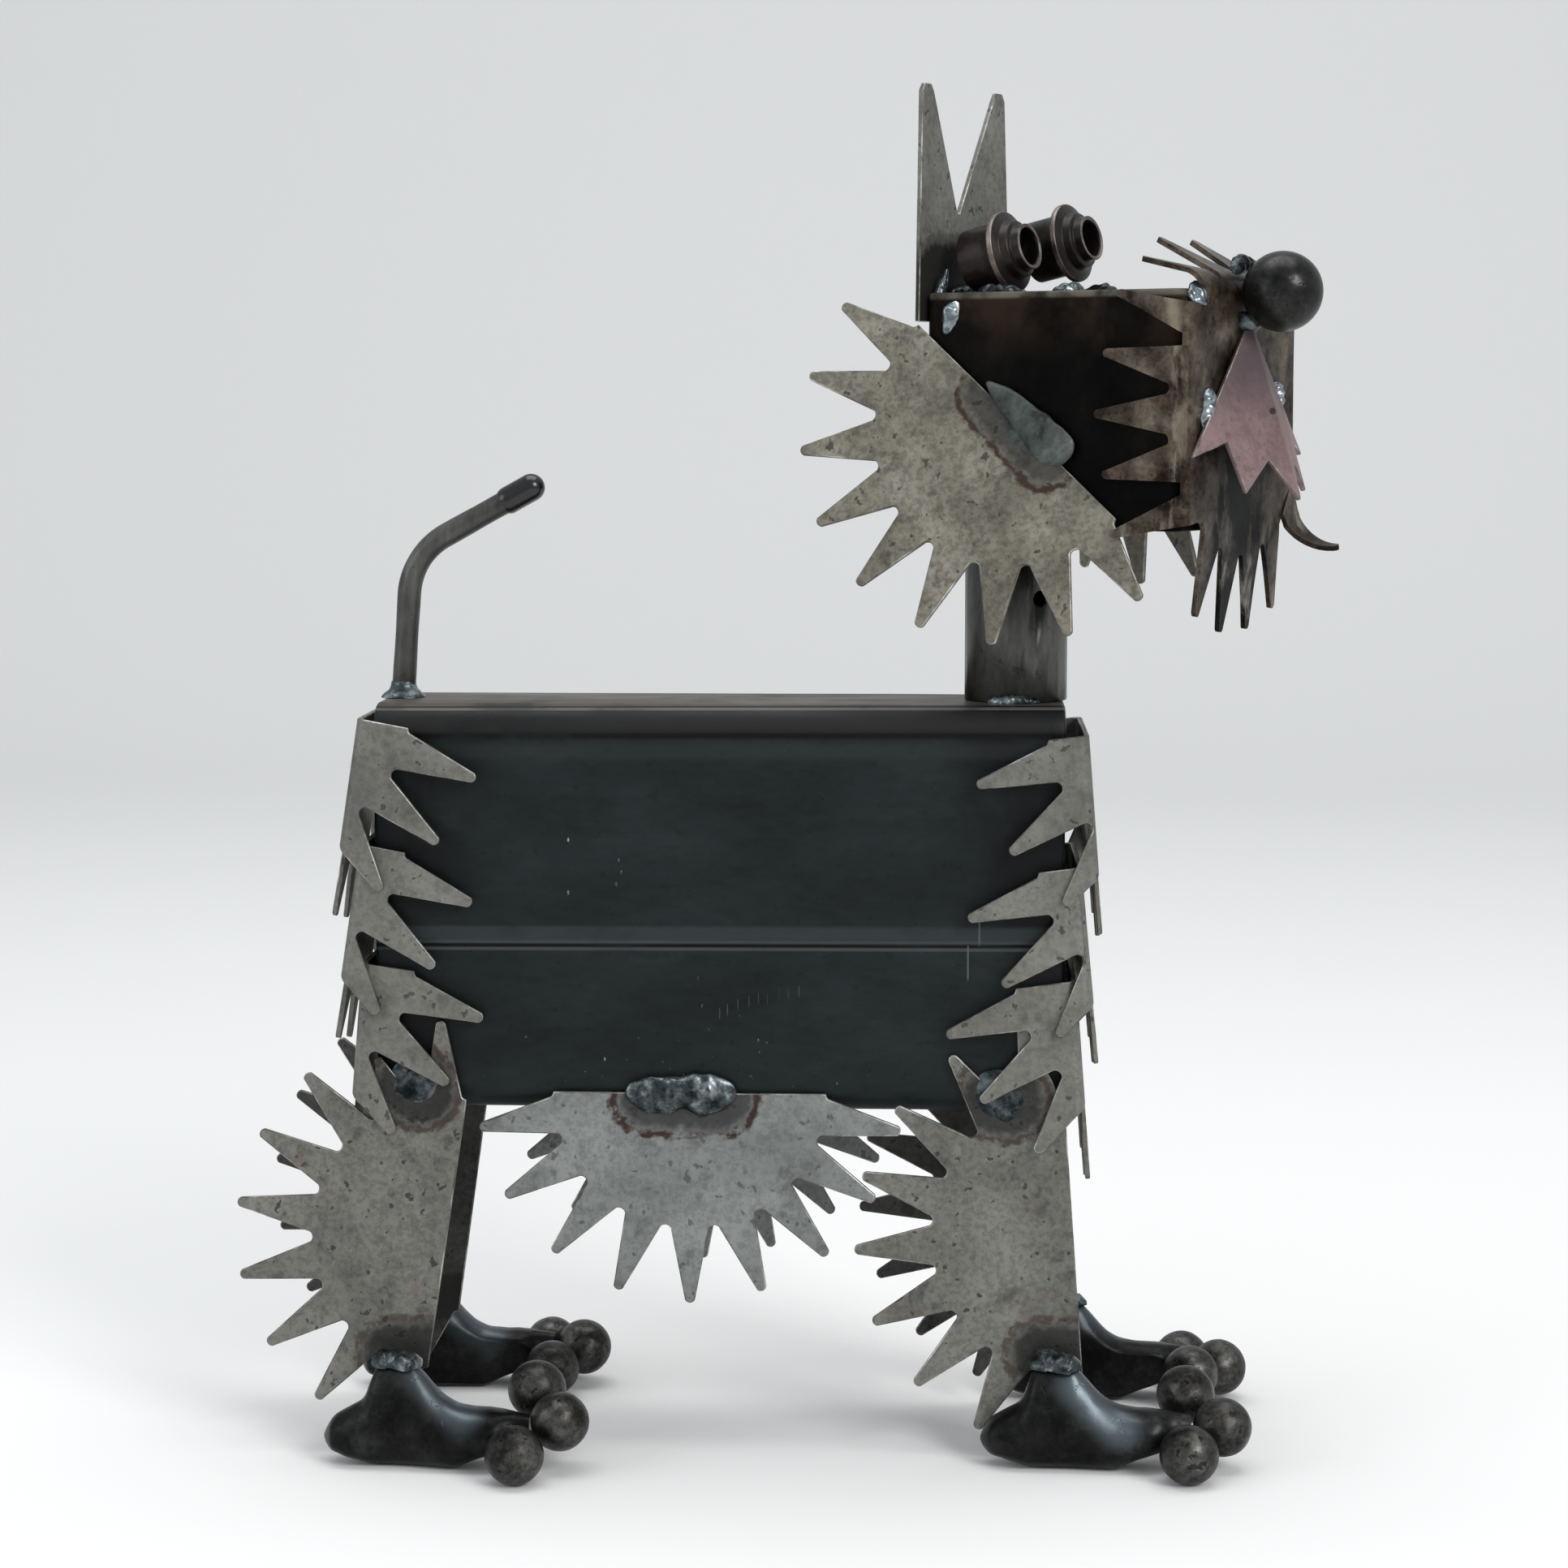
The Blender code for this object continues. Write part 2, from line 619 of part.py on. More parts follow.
def head_place():
    """Head's own axes: x ahead, y to the far side, z up, from the middle of its underside."""
    turn = Matrix.Rotation(math.radians(-HEAD_YAW), 4, "Z")
    return Matrix.Translation((HEAD_X, HEAD_Y, HEAD_BOTTOM)) @ turn


def make_head():
    upright = Matrix.Rotation(math.pi / 2, 4, "X")
    shift = Matrix.Translation((0, HEAD_WIDTH / 2, HEAD_HEIGHT / 2))
    rounded_box("head_box", HEAD_LENGTH, HEAD_HEIGHT, HEAD_WIDTH, HEAD_CORNER, DARK_STEEL,
                head_place() @ shift @ upright)


def face_place():
    """Sheet axes on the front of the head: x to the far side, y up, z ahead."""
    rise = HEAD_HEIGHT / 2 + MUZZLE_RISE
    ahead = HEAD_LENGTH / 2 + MUZZLE_STANDOFF + SHEET / 2
    return head_place() @ frame((ahead, 0, rise), (0, 1, 0), (0, 0, 1))


def gathered(points, root, toward):
    """Teeth closer together than they were cut: each leans back toward one direction."""
    radius = np.hypot(points[:, 0], points[:, 1])
    aim = math.radians(toward)
    angle = np.arctan2(points[:, 1], points[:, 0]) - aim
    angle = (angle + math.pi) % (2 * math.pi) - math.pi
    inside = np.minimum(radius, root)
    beyond = radius - inside
    lean = aim + angle * MUZZLE_GATHER
    moved = points.copy()
    moved[:, 0] = inside * np.cos(aim + angle) + beyond * np.cos(lean)
    moved[:, 1] = inside * np.sin(aim + angle) + beyond * np.sin(lean)
    return moved


def twisted(points, base, aim):
    """The chin's corner tooth turned downward in the sheet, more and more beyond its base."""
    offset = points[:, :2] - base
    past = offset @ polar(1.0, -aim)
    turn = -math.radians(CURL_TWIST) * np.clip(past / 8.0, 0.0, 1.0)
    moved = points.copy()
    moved[:, 0] = base[0] + offset[:, 0] * np.cos(turn) - offset[:, 1] * np.sin(turn)
    moved[:, 1] = base[1] + offset[:, 0] * np.sin(turn) + offset[:, 1] * np.cos(turn)
    return moved


def make_muzzle():
    """The whole disc: side teeth folded back on the cheeks, top ones over the brow.

    The lower teeth hang, and the one at the far corner of the chin curls forward.
    """
    pitch = 360.0 / DISC_TEETH
    long_teeth = {7: -MUZZLE_LONG_TOOTH, 11: -MUZZLE_LONG_TOOTH}
    outline = toothed_outline(DISC_RADIUS, DISC_TEETH, 0.0, whole=True, short=long_teeth)
    root = DISC_RADIUS - GULLET_DEPTH
    start = HEAD_WIDTH / 2 + GAP + SHEET / 2 - MUZZLE_SIDE_BEND
    brow = HEAD_HEIGHT / 2 - MUZZLE_RISE - 1.0
    curl_line = polar(root - 2.0, -2 * pitch)
    curl_out = polar(1.0, -2 * pitch - CURL_TWIST)
    cuts = []
    for side in (1, -1):
        cuts += bend_cuts((side * start, 0), (side, 0), MUZZLE_SIDE_BEND, 90, 3)
    cuts += bend_cuts((0, brow), (0, 1), MUZZLE_TOP_BEND, MUZZLE_TOP_FOLD, 3)
    cuts += bend_cuts(curl_line, polar(1.0, -2 * pitch), CURL_RADIUS, CURL, 4)
    place = face_place()

    def shape(points):
        angle = np.degrees(np.arctan2(points[:, 1], points[:, 0]))
        flat = points.copy()
        near = np.abs(angle) > 180 - 2.5 * pitch
        low_near = near & (angle < 0) & (angle > -180 + 1.5 * pitch)
        far = (angle < 2.5 * pitch) & (angle > -1.5 * pitch)
        top = (angle > 2.5 * pitch) & (angle < 180 - 2.5 * pitch)
        curl = (angle < -1.5 * pitch) & (angle > -2.5 * pitch)
        low = ~near & ~far & ~top & ~curl
        for teeth, toward in ((near, 180.0), (far, 0.0), (low, -90.0)):
            flat[teeth] = gathered(flat[teeth], root, toward)
        flat[curl] = twisted(flat[curl], curl_line, 2 * pitch)
        points = roll(flat, (-start, 0), (-1, 0), MUZZLE_SIDE_BEND, -90, near & ~low_near)
        points = roll(points, (-start, 0), (-1, 0), MUZZLE_SIDE_BEND,
                      -MUZZLE_LOW_TOOTH_FOLD, low_near)
        points = roll(points, (start, 0), (1, 0), MUZZLE_SIDE_BEND, -90, far)
        corner = top & (angle > 180 - 3.5 * pitch)
        points = roll(points, (0, brow), (0, 1), MUZZLE_TOP_BEND, -MUZZLE_TOP_FOLD,
                      top & ~corner)
        points = roll(points, (0, brow), (0, 1), MUZZLE_TOP_BEND, -MUZZLE_NEAR_TOP_FOLD, corner)
        points = roll(points, curl_line, curl_out, CURL_RADIUS, CURL, curl)
        points = roll(points, (0, -HEAD_HEIGHT / 2 - MUZZLE_RISE), (0, -1), 40.0,
                      -MUZZLE_TILT, low)
        return placed(points, place)

    sheet("muzzle_disc", outline, cuts, shape, MUZZLE_STEEL)


def make_nose():
    radius = NOSE_DIAMETER / 2
    centre = face_place() @ Vector((NOSE_SIDE, NOSE_RISE, SHEET / 2 + GAP + radius))
    ball("nose_ball", centre, radius, BALL_IRON, columns=14, rows=9)


def make_mouth():
    """A five-toothed fan folded along its middle like a tent, its middle tooth thrust ahead."""
    half_top = MOUTH_TOP_WIDTH / 2
    outline = [np.array((-half_top, 0.0))]
    for step in range(-4, 5):
        radius = MOUTH_GULLET_RADIUS if step % 2 else MOUTH_RADIUS
        outline.append(polar(radius, -90 + step * MOUTH_PITCH / 2))
    outline.append(np.array((half_top, 0.0)))
    start = MOUTH_BEND * math.radians(MOUTH_FOLD / 2)
    cuts = bend_cuts((-start, 0), (1, 0), MOUTH_BEND, MOUTH_FOLD, 2)
    lift = SHEET + GAP + MOUTH_STANDOFF
    place = face_place() @ Matrix.Translation((MOUTH_SIDE, MOUTH_TOP, lift))
    place = place @ Matrix.Rotation(math.radians(-MOUTH_FORWARD_TILT), 4, "X")

    def shape(points):
        for side in (1, -1):
            points = roll(points, (0, 0), (side, 0), MOUTH_BEND, -MOUTH_FOLD / 2)
        return placed(points, place)

    sheet("mouth_plate", outline, cuts, shape, MOUTH_COPPER)


def make_ears():
    """One upright sheet behind the head, cut to two pointed ears with a V between them."""
    half = EAR_WIDTH / 2
    base = EAR_BOTTOM - HEAD_BOTTOM
    notch = EAR_NOTCH - HEAD_BOTTOM
    top = EAR_TOP - HEAD_BOTTOM
    near = -half + NEAR_EAR_TAPER
    far = half - FAR_EAR_TAPER
    outline = [np.array(p) for p in (
        (-half, base), (half, base), (far, top - 2.2), (far - 1.6, top),
        (far - EAR_TIP_WIDTH + 1.6, top), (far - EAR_TIP_WIDTH, top - 2.2),
        (EAR_NOTCH_SIDE + 0.6, notch), (EAR_NOTCH_SIDE - 0.6, notch),
        (near + EAR_TIP_WIDTH, top - 2.2), (near + EAR_TIP_WIDTH - 1.6, top),
        (near + 1.6, top), (near, top - 2.2))]
    back = -HEAD_LENGTH / 2 - GAP - SHEET / 2
    place = head_place() @ frame((back, EAR_SIDE, 0), (0, 1, 0), (0, 0, 1))
    sheet("ear_plate", outline, [], lambda points: placed(points, place), COAT_STEEL)


def make_eyes():
    """Two flanged bushings on top of the head, looking ahead and a little up."""
    bore, rim = EYE_BORE / 2, EYE_RIM / 2
    barrel, flange = EYE_BARREL / 2, EYE_FLANGE / 2
    profile = [(bore, -0.6), (bore, -EYE_LENGTH), (barrel, -EYE_LENGTH), (barrel, -11.5),
               (flange - 2.0, -8.6), (flange, -8.2), (flange, -6.6), (rim + 2.0, -5.6),
               (rim + 1.6, -3.2), (rim, -2.8), (rim, 0.0), (bore + 0.6, 0.0)]
    tilt = math.radians(EYE_TILT)
    flange_drop = flange * math.cos(tilt) + 8.2 * math.sin(tilt)
    rise = HEAD_HEIGHT + GAP + flange_drop
    ahead = EYE_AHEAD - HEAD_LENGTH / 2
    for (word, side), lift in zip(SIDES, (0.0, FAR_EYE_RISE)):
        place = head_place() @ Matrix.Translation((ahead, side * EYE_SPACING / 2, rise + lift))
        place = place @ Matrix.Rotation(math.pi / 2 - tilt, 4, "Y")
        turned(f"eye_{word}", profile, 14, EYE_STEEL, place)


def make_ruff():
    """Two half discs flared off the cheeks, their straight edges on the head's sides."""
    outline = toothed_outline(RUFF_DISC_RADIUS, DISC_TEETH // 2, -170.0)
    slope = math.radians(RUFF_SLOPE)
    flare = math.radians(RUFF_FLARE)
    off = GAP + SHEET / 2 * math.cos(flare)
    for (word, side), setback, height in zip(SIDES, (RUFF_BACK, FAR_RUFF_BACK),
                                             (RUFF_Z, FAR_RUFF_Z)):
        along = Vector((math.cos(slope), 0, -math.sin(slope)))
        back = Vector((-math.sin(slope), 0, -math.cos(slope)))
        down = back * math.cos(flare) + Vector((0, side, 0)) * math.sin(flare)
        centre = (HEAD_LENGTH / 2 - setback, side * (HEAD_WIDTH / 2 + off),
                  height - HEAD_BOTTOM)
        place = head_place() @ frame(centre, along, -down)
        sheet(f"ruff_plate_{word}", outline, [], lambda points: placed(points, place),
              COAT_STEEL)


def settle():
    """Moves the whole dog so that the middle of its footprint is the origin."""
    solids = [o for o in bpy.data.objects if o.type == "MESH" and not o.hide_render]
    points = np.array([v.co[:] for o in solids for v in o.data.vertices])
    low, high = points.min(axis=0), points.max(axis=0)
    shift = Matrix.Translation((-(low[0] + high[0]) / 2, -(low[1] + high[1]) / 2, -low[2]))
    for made in bpy.data.objects:
        if made.type == "MESH":
            made.data.transform(shift)


def main():
    for old in list(bpy.data.objects):
        bpy.data.objects.remove(old)
    make_body()
    make_fringes()
    make_legs()
    make_belly()
    make_feet()
    make_tail()
    make_neck()
    make_head()
    make_muzzle()
    make_nose()
    make_mouth()
    make_ears()
    make_eyes()
    make_ruff()
    settle()


main()
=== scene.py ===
import math

import bmesh
import bpy
import numpy as np
from mathutils import Matrix, Vector


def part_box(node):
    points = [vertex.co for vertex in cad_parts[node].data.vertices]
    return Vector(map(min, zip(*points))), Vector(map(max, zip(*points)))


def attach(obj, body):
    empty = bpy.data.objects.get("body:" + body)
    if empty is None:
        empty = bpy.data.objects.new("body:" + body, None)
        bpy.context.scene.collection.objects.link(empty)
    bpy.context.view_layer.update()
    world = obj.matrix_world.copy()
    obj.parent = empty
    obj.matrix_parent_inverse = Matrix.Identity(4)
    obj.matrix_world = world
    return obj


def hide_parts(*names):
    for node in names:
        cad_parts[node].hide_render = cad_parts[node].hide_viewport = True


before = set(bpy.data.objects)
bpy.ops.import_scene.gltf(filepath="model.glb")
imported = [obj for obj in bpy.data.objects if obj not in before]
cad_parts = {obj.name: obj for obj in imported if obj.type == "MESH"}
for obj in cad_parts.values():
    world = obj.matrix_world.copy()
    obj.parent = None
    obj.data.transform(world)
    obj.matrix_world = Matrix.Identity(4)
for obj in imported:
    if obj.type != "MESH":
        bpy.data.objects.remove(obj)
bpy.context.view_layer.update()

# %% [markdown]
# ## The dog's own sizes
# These are the values that the CAD part was made with. All the coat plates share one disc, so its
# teeth are described once: tip radius, gullet depth, and the two small radii that round the tips
# and the gullets. In the photograph both are clearly round, so each gets several steps here.
# %% Sizes of the dog, in millimetres
MM = 0.001
GAP = 0.3
SHEET = 1.5

# Steps of each small arc, mm of flat sheet to one unit of its UV map, rounding of a sheet's edges
TIP_STEPS = 6
GULLET_STEPS = 4
BEND_STEPS = 8
CURL_STEPS = 12
MOUTH_STEPS = 4
PATTERN_UNIT = 100.0
EASED_EDGE = 0.32

# Toothed disc that the coat is cut from, in millimetres
DISC_TEETH = 18
DISC_RADIUS = 64.0
FRONT_LEG_DISC_RADIUS = 65.4
RUFF_DISC_RADIUS = 66.5
GULLET_DEPTH = 23.2
TIP_ROUND = 1.7
GULLET_ROUND = 2.0
TEETH_DOWN = -170.0

# Body
BODY_LENGTH = 205.0
BODY_WIDTH = 52.0
BODY_HEIGHT = 122.0
BODY_BOTTOM = 103.4
BODY_TOP = BODY_BOTTOM + BODY_HEIGHT
BODY_CORNER = 8.5
SEAM_LEVEL = 154.1
SEAM_SLOPE = 0.0045
BODY_MIDDLE_X = -0.6
REAR_END = BODY_MIDDLE_X - BODY_LENGTH / 2
FRONT_END = BODY_MIDDLE_X + BODY_LENGTH / 2

# Fringe plates folded round the two ends of the body, top plate first
REAR_TOPS = (221.5, 184.0, 148.0)
REAR_STANDOFFS = (2.6, 2.6, 2.6)
REAR_LEANS = (8.5, 8.5, 4.5)
REAR_SHIFTS = (3.5, 1.0, 2.0)
CHEST_TOPS = (217.5, 178.5, 144.5)
CHEST_STANDOFFS = (5.2, 3.4, 2.2)
CHEST_LEANS = (4.5, 5.5, 4.5)
CHEST_SHIFTS = (0.0, 0.0, 4.0)
FRINGE_BEND = 2.5
FRINGE_FLARE = 2.0
LOW_FRINGE_FLARE = 3.5

# Legs: place of the disc's centre, direction its middle tooth points in, and the outward
# splay of the near and the far one
REAR_LEG_X = REAR_END + 21.5
REAR_LEG_Z = 66.9
REAR_LEG_TURN = 171.8
REAR_SPLAYS = (4.0, 1.5)
REAR_SNIPPED_TOOTH = 1
SNIP = 7.0
FRONT_LEG_X = FRONT_END + 3.5
FRONT_LEG_Z = 67.5
FRONT_LEG_TURN = 184.2
FRONT_SPLAYS = (1.0, 0.0)

# Belly plates
BELLY_X = BODY_MIDDLE_X - 8.6
BELLY_Z = 109.6

# Feet, near one first
REAR_FEET_X = (REAR_END + 7.7, REAR_END + 4.9)
FRONT_FEET_X = (FRONT_END - 1.9, FRONT_END + 2.6)
STUMP_HALF_WIDTH = 6.2
TOE_OUT_REAR = 6.5
TOE_OUT_FRONT = 1.5

# Tail rod with its dipped cap
TAIL_DIAMETER = 7.0
TAIL_X = REAR_END + 5.1
TAIL_STRAIGHT = 31.5
TAIL_LEAN = 4.0
TAIL_BEND_RADIUS = 22.0
TAIL_BEND = 57.0
TAIL_REACH = 21.0
CAP_DIAMETER = 8.4
CAP_LENGTH = 12.5

# Neck tube
NECK_DIAMETER = 30.7
NECK_X = FRONT_END - 14.4

# Head box, turned toward the near side
HEAD_YAW = 30.0
HEAD_LENGTH = 84.0
HEAD_WIDTH = 70.0
HEAD_HEIGHT = 68.6
HEAD_BOTTOM = 277.7
HEAD_X = NECK_X + 26.3
HEAD_Y = 0.6
HEAD_CORNER = 3.0

# Muzzle disc
MUZZLE_RISE = -1.0
MUZZLE_STANDOFF = 1.7
MUZZLE_TILT = 5.0
MUZZLE_TILT_BEND = 40.0
MUZZLE_SIDE_BEND = 3.2
MUZZLE_TOP_BEND = 7.0
MUZZLE_TOP_FOLD = 62.0
MUZZLE_NEAR_TOP_FOLD = 76.0
MUZZLE_LOW_TOOTH_FOLD = 76.0
MUZZLE_GATHER = 0.45
MUZZLE_LONG_TOOTH = 4.0
CURL_TWIST = 38.0
CURL_RADIUS = 15.0
CURL = 92.0

# Mouth, ears and eyes
MOUTH_RADIUS = 51.5
MOUTH_GULLET_RADIUS = 39.3
MOUTH_PITCH = 24.0
MOUTH_TOP = 24.0
MOUTH_TOP_WIDTH = 5.5
MOUTH_SIDE = -1.8
MOUTH_FORWARD_TILT = 18.2
MOUTH_FOLD = 36.0
MOUTH_BEND = 1.6
MOUTH_STANDOFF = 1.2
EAR_WIDTH = 55.0
EAR_BOTTOM = 338.0
EAR_NOTCH = 370.5
EAR_TOP = 407.5
EAR_TIP_WIDTH = 6.8
EAR_NOTCH_SIDE = -4.4
NEAR_EAR_TAPER = 1.6
FAR_EAR_TAPER = 4.2
EAR_SIDE = -10.6
EYE_SPACING = 39.0
EYE_AHEAD = 26.6
EYE_LENGTH = 20.0
FAR_EYE_RISE = 4.0
EYE_TILT = 12.0
EYE_BORE = 10.8
EYE_RIM = 13.6
EYE_BARREL = 18.6
EYE_FLANGE = 24.0

# Cheek ruff
RUFF_BACK = 52.6
RUFF_Z = 309.0
RUFF_SLOPE = 40.3
RUFF_FLARE = 19.0
FAR_RUFF_BACK = 57.8
FAR_RUFF_Z = 322.0

# Each side's name and its sign along Y
SIDES = (("near", -1.0), ("far", 1.0))


# %% [markdown]
# ## Where the dog stands
# The sizes count from the middle of the body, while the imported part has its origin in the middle
# of its whole footprint. The body box is in both, so the difference between its two places is the
# shift that brings a new piece onto its CAD node.
# %% Shift from the body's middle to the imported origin
low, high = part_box("body_box")
body_middle = (np.array(low) + np.array(high)) / 2
SHIFT = np.array((body_middle[0] - BODY_MIDDLE_X * MM, body_middle[1], 0.0))
SHIFT_MM = SHIFT / MM
print("shift in mm", SHIFT_MM)


def head_place():
    """Head's own axes: x ahead, y to the far side, z up, from the middle of its underside."""
    turn = Matrix.Rotation(math.radians(-HEAD_YAW), 4, "Z")
    return Matrix.Translation((HEAD_X, HEAD_Y, HEAD_BOTTOM)) @ turn


head_matrix = np.array(head_place())


def on_dog(points):
    """Points counted from the body's middle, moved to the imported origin."""
    return np.array(points, float) + SHIFT_MM


def on_head(points):
    """Points in the head's axes (ahead, to the far side, up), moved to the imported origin."""
    return np.array(points, float) @ head_matrix[:3, :3].T + head_matrix[:3, 3] + SHIFT_MM


def head_direction(vector):
    """A direction in the head's axes, turned with the head."""
    return head_matrix[:3, :3] @ np.array(vector, float)


# %% [markdown]
# ## Steel finishes
# Every finish is procedural and reads Object coordinates, which are row coordinates here because
# each piece keeps its place in its mesh. A finish is layered as the real one is: broad stains,
# fine speckle, dark pits with a little depth, and brown heat rings round the welds.
# %% Node helper
def node(tree, kind, settings=(), **inputs):
    """Adds a shader node, sets its properties, and links or sets its named inputs."""
    made = tree.nodes.new(kind)
    for key, value in dict(settings).items():
        setattr(made, key, value)
    for key, value in inputs.items():
        slot_key = int(key[1:]) if key[0] == "n" and key[1:].isdigit() else key.replace("_", " ")
        socket = made.inputs[slot_key]
        if isinstance(value, bpy.types.NodeSocket):
            tree.links.new(value, socket)
        else:
            socket.default_value = value
    return made


def arithmetic(tree, operation, *terms):
    """One Math node's result over up to three terms."""
    sockets = {f"n{index}": term for index, term in enumerate(terms)}
    return node(tree, "ShaderNodeMath", {"operation": operation}, **sockets).outputs[0]


def noise(tree, where, scale, detail=4.0, rough=0.55):
    """Fractal noise about one half, scale features to the metre."""
    return node(tree, "ShaderNodeTexNoise", Vector=where, Scale=scale, Detail=detail,
                Roughness=rough).outputs["Fac"]


def remap(tree, value, low, high, bottom=0.0, top=1.0):
    """A value from low to high turned smoothly into bottom to top."""
    return node(tree, "ShaderNodeMapRange", {"interpolation_type": "SMOOTHSTEP"}, Value=value,
                From_Min=low, From_Max=high, To_Min=bottom, To_Max=top).outputs["Result"]


def mix(tree, share, first, second):
    """One colour over another. The Mix node keeps its colour sockets at 6 and 7."""
    made = node(tree, "ShaderNodeMix", {"data_type": "RGBA"}, n0=share)
    for index, value in ((6, first), (7, second)):
        if isinstance(value, bpy.types.NodeSocket):
            tree.links.new(value, made.inputs[index])
        else:
            made.inputs[index].default_value = (*value, 1.0)
    return made.outputs[2]


# %% [markdown]
# A weld leaves two marks: soot close by, and past it a narrow broken ring of brown where the scale
# was burnt. Both are found from the distance to the weld's own line. The nearest point of a line
# from A to B is A + t (B - A), where t is (P - A) . (B - A) / |B - A|^2 kept within 0 and 1.
# %% Heat marks round a weld
def from_line(tree, where, start, end):
    """The distance from each shaded point to the line from start to end, in metres."""
    start, end = np.array(start) * MM, np.array(end) * MM
    span = end - start
    offset = node(tree, "ShaderNodeVectorMath", {"operation": "SUBTRACT"}, n0=where, n1=tuple(start))
    dot = node(tree, "ShaderNodeVectorMath", {"operation": "DOT_PRODUCT"}, n0=offset.outputs["Vector"],
               n1=tuple(span / (span @ span)))
    share = node(tree, "ShaderNodeClamp", Value=dot.outputs["Value"]).outputs["Result"]
    nearest = node(tree, "ShaderNodeVectorMath", {"operation": "SCALE"}, n0=tuple(span), Scale=share)
    return node(tree, "ShaderNodeVectorMath", {"operation": "DISTANCE"}, n0=offset.outputs["Vector"],
                n1=nearest.outputs["Vector"]).outputs["Value"]


def band(tree, value, middle, half, soft):
    """1 where value is within half of middle, easing to 0 over soft."""
    off = arithmetic(tree, "ABSOLUTE", arithmetic(tree, "SUBTRACT", value, middle))
    return remap(tree, off, half + soft, half)


def product(tree, *shares):
    """The shares multiplied together."""
    total = shares[0]
    for share in shares[1:]:
        total = arithmetic(tree, "MULTIPLY", total, share)
    return total


SOOT_SHADE = (0.016, 0.015, 0.014)
RUST_SHADE = (0.034, 0.018, 0.012)
RAGGED = 5.0


def heat_marks(tree, where, colour, welds):
    """Soot within reach mm of each weld's line, and a thin broken brown ring outside it.

    Noise pushes each point by 0 to RAGGED mm, so the lines are moved by its mean, RAGGED / 2.
    """
    ragged = node(tree, "ShaderNodeTexNoise", Vector=where, Scale=330.0, Detail=6.0)
    pushed = node(tree, "ShaderNodeVectorMath", {"operation": "MULTIPLY_ADD"}, n0=ragged.outputs["Color"],
                  n1=(RAGGED * MM,) * 3, n2=where).outputs["Vector"]
    patchy = remap(tree, noise(tree, where, 190.0, 5.0, 0.65), 0.36, 0.5)
    for start, end, reach, soot, rust in welds:
        far = from_line(tree, pushed, start + RAGGED / 2, end + RAGGED / 2)
        edge = reach * MM
        dark = remap(tree, far, edge + 0.0012, edge - 0.003, 0.0, soot)
        colour = mix(tree, dark, colour, SOOT_SHADE)
        ring = band(tree, far, edge + 0.0006, 0.0005, 0.0013)
        colour = mix(tree, product(tree, ring, patchy, rust), colour, RUST_SHADE)
    return colour


BODY_LINES = (
    # Seam: painted highlights on its ridge and upper lip, its dark line, and a painted highlight under it
    (157.2, 1.6, 1.6, 0.55, (0.034, 0.043, 0.045)),
    (155.0, 0.2, 0.5, 0.4, (0.06, 0.072, 0.075)),
    (153.9, 0.3, 0.35, 1.0, (0.0008, 0.0008, 0.0008)),
    (152.9, 0.2, 0.5, 0.55, (0.065, 0.075, 0.078)),
    # Top: lighter band, painted shadow line under the shoulder, darker band, light edge line, brown top
    (212.0, 1.0, 2.5, 0.4, (0.022, 0.026, 0.027)),
    (217.2, 0.9, 1.3, 1.0, (0.0008, 0.0008, 0.0008)),
    (220.5, 2.4, 1.2, 0.75, (0.015, 0.0147, 0.0143)),
    (224.2, 0.2, 0.3, 0.75, (0.12, 0.112, 0.1)),
    (225.6, 0.5, 0.3, 0.9, (0.078, 0.068, 0.057)),
)
HAIRLINES = ((57.7, 155.5, 163.0), (54.4, 145.0, 153.5))


def body_lines(tree, where, colour):
    """The box's welded seam with painted highlights, a painted shadow line under the top edge, and two
    upright hairlines.

    Each line is a band at a height in mm, with its half width, its soft edge, its share and shade.
    A hairline has its place along the body and its two heights.
    """
    axes = node(tree, "ShaderNodeSeparateXYZ", Vector=where).outputs
    off = arithmetic(tree, "SUBTRACT", axes["X"], SHIFT[0] + BODY_MIDDLE_X * MM)
    off = arithmetic(tree, "ABSOLUTE", off)
    # Soot and painted shade beside the fringe plates, darker toward both ends of the body
    soot = product(tree, remap(tree, off, 0.058, 0.088),
                   remap(tree, noise(tree, where, 26.0, 4.0), 0.4, 0.56, 0.2, 0.9))
    colour = mix(tree, soot, colour, (0.0015, 0.002, 0.0022))
    rise = arithmetic(tree, "MULTIPLY_ADD", axes["X"], -SEAM_SLOPE, axes["Z"])
    for level, half, soft, share, shade in BODY_LINES:
        line = band(tree, rise, level * MM, half * MM, soft * MM)
        patchy = remap(tree, noise(tree, where, 45.0, 4.0), 0.3, 0.5, 0.35, share)
        colour = mix(tree, product(tree, line, patchy), colour, shade)
    for x, low, high in HAIRLINES:
        across = band(tree, axes["X"], x * MM, 0.1 * MM, 0.25 * MM)
        along = band(tree, axes["Z"], (low + high) / 2 * MM, (high - low) / 2 * MM, 1.5 * MM)
        colour = mix(tree, product(tree, across, along), colour, (0.075, 0.085, 0.09))
    return colour


def head_edge(tree, where, colour):
    """A brown band below the head's top, and a light line along its upper edges."""
    axes = node(tree, "ShaderNodeSeparateXYZ", Vector=where).outputs
    top = (HEAD_BOTTOM + HEAD_HEIGHT) * MM
    brown = product(tree, remap(tree, axes["Z"], top - 0.022, top - 0.006),
                    remap(tree, noise(tree, where, 38.0, 5.0), 0.42, 0.6, 0.1, 0.9))
    colour = mix(tree, brown, colour, (0.022, 0.014, 0.009))
    line = band(tree, axes["Z"], top - 0.0005, 0.0007, 0.0012)
    patchy = remap(tree, noise(tree, where, 90.0, 5.0), 0.36, 0.58, 0.15, 0.9)
    return mix(tree, product(tree, line, patchy), colour, (0.12, 0.11, 0.092))


